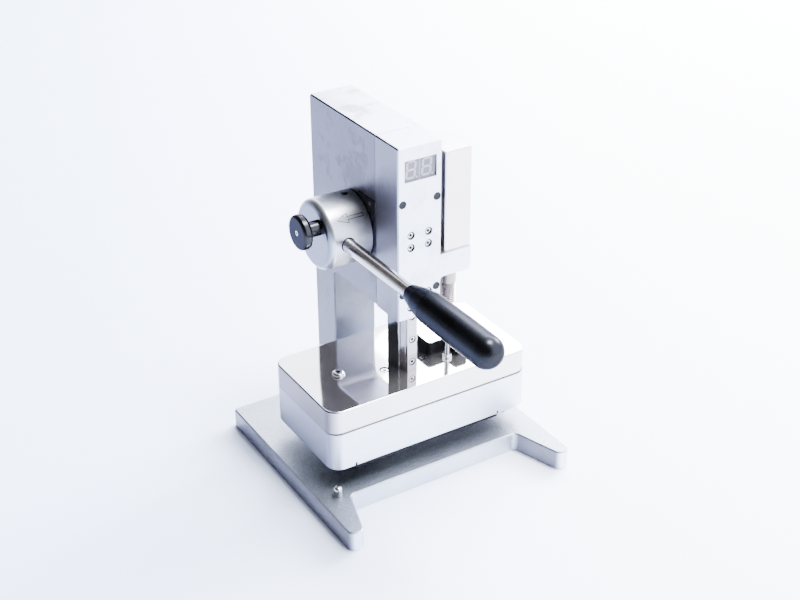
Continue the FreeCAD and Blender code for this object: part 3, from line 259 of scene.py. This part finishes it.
def plastic(name, col, rough, grain=(1500.0, 0.15, 0.0001), var=0.3, spec=0.5, dust=0.1, seed=0.0, coat=0.0, gloss=None):
    t = Tree(name)
    big = t.noise(30.0, 4.0, 0.6, t.mapped(loc=(seed, 0.5, 0.1)))
    fine = t.noise(420.0, 3.0, 0.6, t.mapped(loc=(seed, 0.1, 0.7)))
    c = t.mix(t.range(big, 0.3, 0.75, 0.0, 1.0), tuple(x * (1 - var) for x in col), tuple(min(1.0, x * (1 + var)) for x in col))
    c = t.mix(t.range(fine, 0.62, 0.8, 0.0, dust), c, tuple(min(1.0, x * 1.5 + 0.03) for x in col))
    t.put("Base Color", c)
    t.put("Roughness", t.math("ADD", t.range(big, 0.3, 0.75, rough * 0.8, rough * 1.25), t.range(fine, 0.4, 0.8, 0.0, 0.05)))
    t.put("Specular IOR Level", spec)
    g = t.noise(grain[0], 2.0, 0.6)
    n = t.bump(g, grain[1], grain[2])
    scr = t.noise(1.0, 5.0, 0.75, t.mapped(scale=(700.0, 25.0, 60.0), rot=(0.2, 0.5, 0.3), loc=(seed, 0, 0)))
    n = t.bump(t.range(scr, 0.63, 0.70, 1.0, 0.0), 0.08, 0.00004, n)
    t.put("Normal", n)
    if gloss:
        t.put("Metallic", 1.0)
        t.put("Base Color", t.mix(t.range(big, 0.3, 0.75, 0.0, 1.0), tuple(x * 0.85 for x in gloss), tuple(x * 1.1 for x in gloss)))
        t.put("Specular Tint", (0.50, 0.50, 0.53, 1.0))
    return t.mat


def turned(name, col, rough, centre, axis, pitch=1600.0, smudge=0.2, strength=0.25, side=None):
    """Lathe-turned metal: fine rings about an axis through centre, on the end faces and along the barrel."""
    t = Tree(name)
    x, y, z = t.xyz()[:3]
    comp = [x, y, z]
    other = [i for i in range(3) if i != axis]
    d = [t.math("SUBTRACT", comp[i], centre[i]) for i in other]
    rad = t.math("SQRT", t.math("ADD", t.math("MULTIPLY", d[0], d[0]), t.math("MULTIPLY", d[1], d[1])))
    line = t.math("ADD", t.math("MULTIPLY", rad, pitch), t.math("MULTIPLY", comp[axis], pitch * 1.1))
    n1 = t.nt.nodes.new("ShaderNodeTexNoise")
    n1.noise_dimensions = "1D"
    n1.inputs["Scale"].default_value = 1.0
    n1.inputs["Detail"].default_value = 4.0
    t.link(line, n1.inputs["W"])
    rings = n1.outputs["Fac"]
    big = t.noise(28.0, 4.0, 0.6)
    c = t.mix(t.range(big, 0.35, 0.7, 0.0, 1.0), tuple(v * (1 - 0.25 * smudge) for v in col), tuple(min(1, v * (1 + 0.1 * smudge)) for v in col))
    c = t.mix(t.range(rings, 0.4, 0.62, 0.10, 0.0), c, tuple(v * 0.6 for v in col))
    # painted shade: faces square to X take a fixed colour factor, standing in for the shade on the hub's end faces
    if side:
        c = t.mix(t.range(t.math("ABSOLUTE", t.normal_x()[0]), 0.55, 0.97, 0.0, 1.0), c, side, "MULTIPLY")
    t.put("Base Color", c)
    t.put("Metallic", 1.0)
    t.put("Roughness", t.math("ADD", t.range(rings, 0.3, 0.7, rough * 0.85, rough * 1.15), t.range(big, 0.4, 0.7, 0.0, 0.05)))
    t.put("Normal", t.bump(rings, strength, 0.00006))
    return t.mat


M = {}
# side, painted_top_tone and painted_face_tone below are painted shade by face direction
M["base"] = metal("bead_blasted_aluminium", (0.82, 0.87, 1.0), 0.32, grain=(1300.0, 0.75, 0.00040), smudge=0.35, spots=0.5, metallic=0.9, side=(0.22, 0.21, 0.235), painted_top_tone=(0.36, 0.37, 0.385), seed=1.3, speckle=0.5, shade=True)
M["frame"] = metal("satin_aluminium_frame", (0.74, 0.74, 0.82), 0.36, grain=(2300.0, 0.20, 0.00012), smudge=0.75, spots=0.8, metallic=0.84, side=(0.146, 0.134, 0.157), painted_top_tone=(0.80, 0.80, 0.88), painted_face_tone=(0.29, 0.315, 0.35), seed=4.1, painted_edge_shade=(0.05, 0.045, 0.05), grime=0.75)
M["house"] = metal("satin_aluminium_front", (0.80, 0.86, 1.0), 0.38, grain=(2300.0, 0.16, 0.00010), smudge=0.18, spots=0.35, metallic=0.86, side=(0.185, 0.164, 0.172), painted_top_tone=(0.58, 0.575, 0.61), seed=2.2, painted_edge_shade=(0.06, 0.055, 0.06), grime=0.35)
M["mirror"] = metal("mirror_steel_cover", (0.74, 0.71, 0.71), 0.050, smudge=0.35, spots=0.25, metallic=0.965, painted_edge_shade=(0.04, 0.032, 0.030), side=(0.160, 0.150, 0.185), tint=(0.76, 0.72, 0.71), seed=0.7, side_rough=0.22, wave=0.0035)
# painted shade: the shell's top is near black, standing in for the shade in the gap under the cover
M["mirror_low"] = metal("satin_steel_shell", (0.84, 0.89, 1.0), 0.34, grain=(2400.0, 0.12, 0.00008), smudge=0.30, spots=0.30, metallic=0.86, side=(0.25, 0.24, 0.275), painted_top_tone=(0.05, 0.042, 0.04), seed=5.3)
M["sheet"] = metal("polished_sheet_steel", (0.72, 0.68, 0.715), 0.24, streak=(900.0, 900.0, 9.0, 0.12, 0.00008), smudge=0.25, spots=0.2, painted_top_tone=(0.50, 0.48, 0.51), seed=3.3)
M["lid"] = metal("polished_lid", (0.86, 0.84, 0.84), 0.10, smudge=0.3, seed=6.0)
M["hub"] = turned("turned_aluminium_hub", (0.46, 0.475, 0.515), 0.31, (0.0, 0.029, 0.193), 0, smudge=0.3, strength=0.05, side=(0.30, 0.30, 0.34))
M["rod"] = metal("polished_lever_rod", (0.56, 0.54, 0.535), 0.22, grain=(1400.0, 0.05, 0.00004), smudge=0.7, spots=0.7, tint=(0.36, 0.33, 0.31), seed=8.1)
M["slide"] = metal("polished_slide_steel", (0.60, 0.61, 0.64), 0.10, streak=(700.0, 700.0, 12.0, 0.02, 0.00003), smudge=0.35, spots=0.3, side=(0.10, 0.115, 0.14), seed=7.7)
M["rail"] = metal("ground_rail_steel", (0.37, 0.352, 0.37), 0.17, streak=(1500.0, 1500.0, 14.0, 0.05, 0.00004), smudge=0.35, seed=8.8)
M["steel"] = metal("machined_steel", (0.58, 0.57, 0.57), 0.28, streak=(900.0, 900.0, 900.0, 0.15, 0.00006), smudge=0.4, spots=0.3, seed=9.1)
M["pinsteel"] = turned("turned_pin_steel", (0.62, 0.61, 0.61), 0.16, (-0.0848, -0.0509, 0.0), 2, smudge=0.4)
M["guide"] = metal("plated_guide", (0.30, 0.262, 0.245), 0.30, streak=(60.0, 60.0, 1400.0, 0.15, 0.00006), smudge=0.35, seed=1.9)
M["drawn"] = metal("drawn_rod_steel", (0.55, 0.55, 0.565), 0.20, streak=(1400.0, 1400.0, 20.0, 0.2, 0.00005), smudge=0.35, seed=2.9)
M["zinc"] = metal("zinc_plate", (0.72, 0.76, 0.80), 0.22, grain=(1500.0, 0.12, 0.00006), smudge=0.45, tint=(0.76, 0.74, 0.60), seed=3.7)
M["screw"] = metal("bright_screw_steel", (0.62, 0.62, 0.66), 0.20, grain=(1800.0, 0.12, 0.00005), smudge=0.35, seed=4.9)
M["spring"] = metal("spring_wire", (0.42, 0.42, 0.45), 0.30, grain=(1400.0, 0.15, 0.00006), smudge=0.5, seed=5.9)
M["alu_plain"] = metal("milled_aluminium", (0.62, 0.62, 0.64), 0.35, streak=(1200.0, 14.0, 14.0, 0.2, 0.00006), smudge=0.4, seed=6.9)
M["brass"] = metal("brass_parts", (0.62, 0.42, 0.18), 0.25, grain=(1600.0, 0.12, 0.00006), smudge=0.5, seed=7.1)
M["black_steel"] = metal("blackened_steel", (0.010, 0.010, 0.013), 0.34, grain=(1800.0, 0.2, 0.00008), smudge=0.5, metallic=0.6, seed=7.9)
M["grip"] = plastic("grip_black_phenolic", (0.0016, 0.0019, 0.0040), 0.28, grain=(1200.0, 0.006, 0.00002), var=0.25, spec=0.13, dust=0.01, seed=0.4, gloss=(0.019, 0.0198, 0.0230))
M["knob"] = plastic("knob_gloss_black", (0.0016, 0.0018, 0.0030), 0.20, grain=(700.0, 0.03, 0.00005), var=0.2, spec=0.10, dust=0.01, seed=1.4, gloss=(0.026, 0.0255, 0.0285))
M["box"] = plastic("terminal_box_black", (0.003, 0.003, 0.004), 0.40, var=0.3, spec=0.07, dust=0.05, seed=2.4)
M["plug"] = plastic("hole_plug_grey", (0.014, 0.015, 0.020), 0.42, grain=(1900.0, 0.25, 0.00012), var=0.25, spec=0.10, dust=0.08, seed=3.4)
M["rubber"] = plastic("black_rubber", (0.004, 0.004, 0.005), 0.60, grain=(1700.0, 0.35, 0.00015), var=0.3, spec=0.08, dust=0.03, seed=4.4)
M["ptfe"] = plastic("black_release_coating", (0.004, 0.0045, 0.006), 0.40, grain=(1300.0, 0.25, 0.00012), var=0.3, spec=0.10, dust=0.03, seed=5.4)
M["led"] = plastic("display_face_grey", (0.19, 0.185, 0.225), 0.35, grain=(1500.0, 0.1, 0.00005), var=0.12, spec=0.4, dust=0.03, seed=6.4)
M["segment"] = plastic("display_segment", (0.62, 0.585, 0.60), 0.30, grain=(900.0, 0.08, 0.00004), var=0.08, spec=0.4, dust=0.02, seed=7.4)
M["pcb"] = plastic("green_board", (0.015, 0.085, 0.035), 0.35, grain=(1200.0, 0.2, 0.0001), var=0.3, spec=0.4, dust=0.1, seed=8.4)
M["fibre"] = plastic("fibre_board", (0.42, 0.36, 0.26), 0.75, grain=(900.0, 0.5, 0.0003), var=0.3, spec=0.2, dust=0.2, seed=9.4)
# painted shade: black for the rings and discs that stand in for the shade in creases, counterbores and key sockets
M["ink"] = plastic("painted_gap_shade", (0.012, 0.012, 0.015), 0.5, var=0.3, spec=0.08, dust=0.03, seed=9.9)
M["arrow"] = plastic("arrow_line", (0.050, 0.052, 0.060), 0.5, var=0.3, spec=0.15, dust=0.05, seed=10.4)


def lens_material():
    t = Tree("acrylic_window")
    n = t.noise(60.0, 3.0, 0.6)
    t.put("Base Color", t.mix(t.range(n, 0.3, 0.7, 0.0, 1.0), (0.88, 0.88, 0.93), (0.96, 0.96, 1.0)))
    t.put("Roughness", t.range(n, 0.35, 0.75, 0.03, 0.09))
    t.put("Transmission Weight", 1.0)
    t.put("IOR", 1.30)
    t.put("Normal", t.bump(t.noise(500.0, 2.0, 0.5), 0.03, 0.00002))
    return t.mat


M["lens"] = lens_material()

PAINT = {
    "base": ["base_plate"], "frame": ["c_frame"], "house": ["front_housing"],
    "mirror": ["platen_cover"], "mirror_low": ["platen_shell"], "sheet": ["side_housing"], "lid": ["terminal_lid"],
    "hub": ["lever_hub"], "rod": ["lever_rod"], "slide": ["slide_bar", "slide_foot"], "rail": ["guide_rail"],
    "steel": ["drive_rack", "pinion_gear", "pinion_shaft", "pinion_key", "index_plate", "guide_carriages", "plunger_pin", "platen_top_plate",
              "platen_spacers", "knob_screw", "cartridge_heaters", "temperature_probe"],
    "pinsteel": ["locating_pin"], "guide": ["return_guide"], "drawn": ["return_rod"], "zinc": ["rod_nut", "frame_bolts", "foot_screws"],
    "screw": ["carriage_screws", "housing_screws", "flange_screws", "slide_screws", "cover_screws", "slide_bolt", "shaft_end_screw", "hub_set_screws"],
    "spring": ["return_spring", "plunger_spring"], "alu_plain": ["heater_plate"], "brass": ["shaft_bushes", "grip_insert"],
    "black_steel": ["bearing_flange"], "grip": ["lever_grip"], "knob": ["plunger_knob", "plunger_sleeve"], "box": ["terminal_box", "power_inlet"],
    "plug": ["hole_plugs", "carriage_end_caps", "heater_relay"], "rubber": ["foot_pads", "platen_bumpers"], "ptfe": ["press_plate"],
    "led": ["display_module"], "pcb": ["display_board", "control_board"], "fibre": ["insulation_board"], "lens": ["display_lens"],
}
for key, names in PAINT.items():
    for n in names:
        o = nodes[n]
        if not o.material_slots:
            o.data.materials.append(M[key])
        for s in o.material_slots:
            s.link = "OBJECT"
            s.material = M[key]
left_over = sorted(set(nodes) - {n for names in PAINT.values() for n in names})
if left_over:
    raise RuntimeError("no finish for " + ", ".join(left_over))


# ------------------------------------------------------------------ added detail
def mesh_piece(name, verts, faces, mat, body, smooth=False):
    me = bpy.data.meshes.new(name)
    me.from_pydata(verts, [], faces)
    me.update()
    me.materials.append(mat)
    ob = bpy.data.objects.new(name, me)
    scene.collection.objects.link(ob)
    if smooth:
        me.polygons.foreach_set("use_smooth", [True] * len(me.polygons))
    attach(ob, body)
    return ob


def prism(outline, place, depth, verts, faces):
    """Adds a flat outline (list of 2-D points) as a thin prism; place(u, v, w) gives the point."""
    n, s = len(outline), len(verts)
    for w in (0.0, depth):
        for u, v in outline:
            verts.append(place(u, v, w))
    faces.append([s + i for i in range(n)][::-1])
    faces.append([s + n + i for i in range(n)])
    for i in range(n):
        j = (i + 1) % n
        faces.append([s + i, s + j, s + n + j, s + n + i])


# two slanted seven-segment digits with their points, between the window and the LED block
lo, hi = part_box("display_module")
gap_y = lo.y if hasattr(lo, "y") else lo[1]
front_y = gap_y - 0.00002
W0, W1, Z0, Z1 = lo[0], hi[0], lo[2], hi[2]
verts, faces = [], []
slant = 0.10
digit_h, digit_w, bar = (Z1 - Z0) * 0.85, (W1 - W0) * 0.315, 0.00165
zc = (Z0 + Z1) / 2 + 0.0002


def seg_place(cx):
    def place(u, v, w):
        return (cx + u + slant * v, front_y - w, zc + v)
    return place


for cx in (W0 + (W1 - W0) * 0.235, W0 + (W1 - W0) * 0.725):
    pl = seg_place(cx)
    hw, hh, b, g = digit_w / 2, digit_h / 2, bar / 2, 0.00012
    for vc in (hh - b, 0.0, -hh + b):
        prism([(-hw + g + 2 * b, vc - b), (hw - g - 2 * b, vc - b), (hw - g - b, vc), (hw - g - 2 * b, vc + b), (-hw + g + 2 * b, vc + b), (-hw + g + b, vc)][::-1], pl, 0.00005, verts, faces)
    for uc in (-hw + b, hw - b):
        for v0, v1 in ((g, hh - b - g), (-hh + b + g, -g)):
            prism([(uc - b, v0 + b), (uc, v0), (uc + b, v0 + b), (uc + b, v1 - b), (uc, v1), (uc - b, v1 - b)][::-1], pl, 0.00005, verts, faces)
    prism([(hw + 0.0011 + 0.00075 * math.cos(a * math.pi / 8), -hh + 0.0007 + 0.00075 * math.sin(a * math.pi / 8)) for a in range(16)][::-1], pl, 0.00005, verts, faces)
prism([(-0.00022, Z0 - zc), (0.00022, Z0 - zc), (0.00022, Z1 - zc), (-0.00022, Z1 - zc)], lambda u, v, w: ((W0 + W1) / 2 + u, front_y - w, zc + v), 0.00003, verts, faces)
mesh_piece("display_digits", verts, faces, M["segment"], "frame")

# outline arrow on the hub barrel, a thin engraved and filled line that follows the cylinder
AX_Y, AX_Z, HUB_R = 0.029, 0.193, 0.0275


def hub_point(x, ang, lift):
    r = HUB_R + lift
    return Vector((x, AX_Y - r * math.cos(ang), AX_Z + r * math.sin(ang)))


def hub_angle(y, z):
    return math.atan2(z - AX_Z, AX_Y - y)


tail = (-0.0285, hub_angle(0.0034, 0.2156))
tip = (-0.0425, hub_angle(0.0180, 0.2068))
a_mid = tail[1]
L = abs(tip[0] - tail[0])


def strip(points, width, name):
    """Closed thin line along points given as (x, arc length) on the barrel."""
    vs, fs = [], []
    dense = []
    for i in range(len(points)):
        p, q = Vector(points[i]), Vector(points[(i + 1) % len(points)])
        k = max(1, int((q - p).length / 0.0006))
        for j in range(k):
            dense.append(p.lerp(q, j / k))
    n = len(dense)
    for i, p in enumerate(dense):
        a, b = dense[i - 1], dense[(i + 1) % n]
        d = (b - a).normalized()
        side = Vector((-d.y, d.x)) * width / 2
        for s in (-1, 1):
            q = p + side * s
            vs.append(tuple(hub_point(q.x, q.y / HUB_R, 0.00004)))
            vs.append(tuple(hub_point(q.x, q.y / HUB_R, -0.00010)))
    for i in range(n):
        j = (i + 1) % n
        a, b = 4 * i, 4 * j
        fs += [[a, b, b + 2, a + 2], [a + 1, a + 3, b + 3, b + 1], [a, a + 1, b + 1, b], [a + 2, b + 2, b + 3, a + 3]]
    return vs, fs


s0 = a_mid * HUB_R
arrow = [(-0.0245, s0 - 0.0012), (-0.0375, s0 - 0.0012), (-0.0375, s0 - 0.0037), (-0.0465, s0), (-0.0375, s0 + 0.0037), (-0.0375, s0 + 0.0012), (-0.0245, s0 + 0.0012)]
vs, fs = strip(arrow, 0.00050, "hub_arrow")
mesh_piece("hub_arrow", vs, fs, M["arrow"], "lever")

# painted shade: a thin dark ring standing in for the shade in the countersink crease where the lever rod enters the hub
crease_shade_curve = bpy.data.curves.new("lever_rod_crease_shade", "CURVE")
crease_shade_curve.dimensions = "3D"
crease_shade_curve.bevel_depth = 0.00030
crease_shade_curve.bevel_resolution = 3
sp = crease_shade_curve.splines.new("POLY")
N = 64
sp.points.add(N - 1)
for i in range(N):
    a = 2 * math.pi * i / N
    rr = 0.00555
    z = 0.193 + rr * math.sin(a)
    x = -0.041 + rr * math.cos(a)
    y = AX_Y - math.sqrt(HUB_R ** 2 - (z - AX_Z) ** 2) - 0.00002
    sp.points[i].co = (x, y, z, 1)
sp.use_cyclic_u = True
crease_shade_ob = bpy.data.objects.new("lever_rod_crease_shade", crease_shade_curve)
crease_shade_curve.materials.append(M["ink"])
scene.collection.objects.link(crease_shade_ob)
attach(crease_shade_ob, "lever")


# ------------------------------------------------------------------ painted shade: dark rings and discs standing in for the shade in the screws' counterbores and key sockets
def annuli(name, axis, items, mat, body, seg=40):
    """items: (centre, inner radius, outer radius, start, end) along axis; inner radius 0 gives a disc."""
    vs, fs = [], []
    a, b = [i for i in range(3) if i != axis]
    for c, r0, r1, w0, w1 in items:
        def pt(r, k, w):
            p = [0.0, 0.0, 0.0]
            p[a] = c[a] + r * math.cos(2 * math.pi * k / seg)
            p[b] = c[b] + r * math.sin(2 * math.pi * k / seg)
            p[axis] = w
            return tuple(p)
        st = len(vs)
        if r0 > 0:
            for k in range(seg):
                vs.extend([pt(r0, k, w0), pt(r1, k, w0), pt(r1, k, w1), pt(r0, k, w1)])
            for k in range(seg):
                p, q = st + 4 * k, st + 4 * ((k + 1) % seg)
                fs.extend([[p + i, q + i, q + (i + 1) % 4, p + (i + 1) % 4] for i in range(4)])
        else:
            for k in range(seg):
                vs.extend([pt(r1, k, w0), pt(r1, k, w1)])
            fs.append([st + 2 * k for k in range(seg)])
            fs.append([st + 2 * k + 1 for k in range(seg)][::-1])
            for k in range(seg):
                p, q = st + 2 * k, st + 2 * ((k + 1) % seg)
                fs.append([p, p + 1, q + 1, q])
    return mesh_piece(name, vs, fs, mat, body)


mm = 0.001
cs = [(x * mm, 0.0, z * mm) for x in (-7.5, 7.5) for z in (145.45, 155.45, 195.4, 205.4)]
annuli("carriage_screw_shade_rings", 1, [(c, 2.50 * mm, 3.20 * mm, -31.03 * mm, -30.60 * mm) for c in cs], M["ink"], "frame")
annuli("carriage_screw_socket_shade", 1, [(c, 0.0, 1.25 * mm, -30.20 * mm, -30.05 * mm) for c in cs], M["ink"], "frame")
rs = [(0.0, 0.0, (90.7 + 20 * k) * mm) for k in range(8)]
annuli("rail_screw_shade_rings", 1, [(c, 2.42 * mm, 3.08 * mm, -20.94 * mm, -20.60 * mm) for c in rs], M["ink"], "platen")
annuli("rail_screw_socket_shade", 1, [(c, 0.0, 1.35 * mm, -20.52 * mm, -20.35 * mm) for c in rs], M["ink"], "platen")
ft = [(x * mm, -8.6 * mm, 0.0) for x in (-17.65, 17.65)]
annuli("foot_screw_shade_rings", 2, [(c, 3.05 * mm, 3.90 * mm, 82.60 * mm, 82.86 * mm) for c in ft], M["ink"], "platen")
annuli("foot_screw_socket_shade", 2, [(c, 0.0, 1.55 * mm, 81.7 * mm, 81.8 * mm) for c in ft], M["ink"], "platen")
bt = [(x * mm, 4.4 * mm, 0.0) for x in (-51.3, 62.3)]
annuli("cover_screw_socket_shade", 2, [(c, 0.0, 1.6 * mm, 84.0 * mm, 84.1 * mm) for c in bt], M["ink"], "platen")
kn = (0.0, 20.3 * mm, 203.3 * mm)
annuli("knob_screw_shade_ring", 0, [(kn, 1.95 * mm, 2.58 * mm, -73.78 * mm, -73.71 * mm)], M["ink"], "plunger")
annuli("knob_screw_key", 0, [(kn, 0.0, 1.05 * mm, -73.2 * mm, -73.1 * mm)], M["ink"], "plunger")
fc = (0.0, 31.9 * mm, 184.9 * mm)
annuli("hub_face_screw_shade_ring", 0, [(fc, 1.45 * mm, 1.98 * mm, -55.5 * mm, -55.41 * mm)], M["ink"], "lever")
annuli("hub_face_screw_socket_shade", 0, [(fc, 0.0, 1.0 * mm, -55.0 * mm, -54.9 * mm)], M["ink"], "lever")
annuli("hub_top_screw_shade_ring", 2, [((-28.2 * mm, 29.0 * mm, 0.0), 1.35 * mm, 2.47 * mm, 218.65 * mm, 218.8 * mm)], M["ink"], "lever")
annuli("hub_top_screw_socket_shade", 2, [((-28.2 * mm, 29.0 * mm, 0.0), 0.0, 1.2 * mm, 217.6 * mm, 217.7 * mm)], M["ink"], "lever")

# ------------------------------------------------------------------ springs copied as coil objects onto their bodies
def live_spring(node, body):
    src = nodes[node]
    lo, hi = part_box(node)
    me = src.data.copy()
    me.transform(src.matrix_world)
    me.materials.clear()
    me.materials.append(M["spring"])
    ob = bpy.data.objects.new(node + "_coil", me)
    scene.collection.objects.link(ob)
    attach(ob, body)
    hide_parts(node)
    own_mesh(ob)


live_spring("return_spring", "frame")
live_spring("plunger_spring", "lever")

# ------------------------------------------------------------------ floor, world and lights
def floor_material():
    t = Tree("pale_floor")
    n = t.noise(1.2, 3.0, 0.5)
    pale = t.mix(t.range(n, 0.3, 0.7, 0.0, 1.0), (0.64, 0.73, 0.98), (0.67, 0.755, 1.0))
    x, y, z = t.xyz()[:3]
    # painted light: the floor colour brightens to white towards +X and slightly towards -Y, standing in for a pool of
    # light there
    painted_light_ramp = t.math("SUBTRACT", x, t.math("MULTIPLY", y, 0.35))
    t.put("Base Color", t.mix(t.range(painted_light_ramp, -0.25, 0.35, 0.0, 1.0), pale, (0.95, 0.965, 1.0)))
    t.put("Roughness", 0.55)
    t.put("Specular IOR Level", 0.2)
    return t.mat


fl = bpy.data.meshes.new("floor")
fl.from_pydata([(-8, -8, 0), (8, -8, 0), (8, 8, 0), (-8, 8, 0)], [], [(0, 1, 2, 3)])
fl.materials.append(floor_material())
floor = bpy.data.objects.new("floor", fl)
floor.location = (0, 0, -0.0002)
scene.collection.objects.link(floor)

world = bpy.data.worlds.new("studio")
scene.world = world
world.use_nodes = True
wt = world.node_tree
wt.nodes.clear()
w_out = wt.nodes.new("ShaderNodeOutputWorld")
w_bg = wt.nodes.new("ShaderNodeBackground")
w_tc = wt.nodes.new("ShaderNodeTexCoord")
w_sep = wt.nodes.new("ShaderNodeSeparateXYZ")
wt.links.new(w_tc.outputs["Generated"], w_sep.inputs[0])
w_map = wt.nodes.new("ShaderNodeMapRange")
w_map.interpolation_type = "SMOOTHSTEP"
w_map.inputs["From Min"].default_value = -0.12
w_map.inputs["From Max"].default_value = 0.40
wt.links.new(w_sep.outputs["X"], w_map.inputs["Value"])
w_mix = wt.nodes.new("ShaderNodeMix")
w_mix.data_type = "RGBA"
w_band = wt.nodes.new("ShaderNodeMapRange")
w_band.interpolation_type = "SMOOTHSTEP"
w_band.inputs["From Min"].default_value = 0.20
w_band.inputs["From Max"].default_value = 0.36
w_band.inputs["To Min"].default_value = 1.0
w_band.inputs["To Max"].default_value = 0.0
wt.links.new(w_sep.outputs["Z"], w_band.inputs["Value"])
w_low = wt.nodes.new("ShaderNodeMix")
w_low.data_type = "RGBA"
w_low.inputs[6].default_value = (0.19, 0.17, 0.17, 1)
w_low.inputs[7].default_value = (0.92, 0.96, 1.08, 1)
wt.links.new(w_band.outputs["Result"], w_low.inputs[0])
wt.links.new(w_low.outputs[2], w_mix.inputs[6])
w_mix.inputs[7].default_value = (6.6, 7.0, 8.3, 1)
wt.links.new(w_map.outputs["Result"], w_mix.inputs[0])
wt.links.new(w_mix.outputs[2], w_bg.inputs["Color"])
w_bg.inputs["Strength"].default_value = 1.0
wt.links.new(w_bg.outputs[0], w_out.inputs["Surface"])


def area(name, loc, aim, size, power, colour=(1, 1, 1), size_y=None):
    ld = bpy.data.lights.new(name, "AREA")
    ld.energy = power
    ld.color = colour
    ld.shape = "RECTANGLE"
    ld.size, ld.size_y = size, size_y or size
    ob = bpy.data.objects.new(name, ld)
    ob.location = loc
    d = (Vector(aim) - Vector(loc)).normalized()
    ob.rotation_euler = d.to_track_quat("-Z", "Y").to_euler()
    scene.collection.objects.link(ob)
    return ob


area("top_softbox", (0.50, -0.36, 1.9), (0, 0, 0.1), 0.6, 125.0, (0.95, 0.97, 1.0))
area("right_softbox", (2.3, 0.45, 1.15), (0.1, 0, 0.05), 1.0, 330.0, (0.98, 0.99, 1.0))
area("back_floor_softbox", (1.5, 1.3, 1.3), (1.0, 1.0, 0.0), 1.3, 190.0, (0.98, 0.99, 1.0))
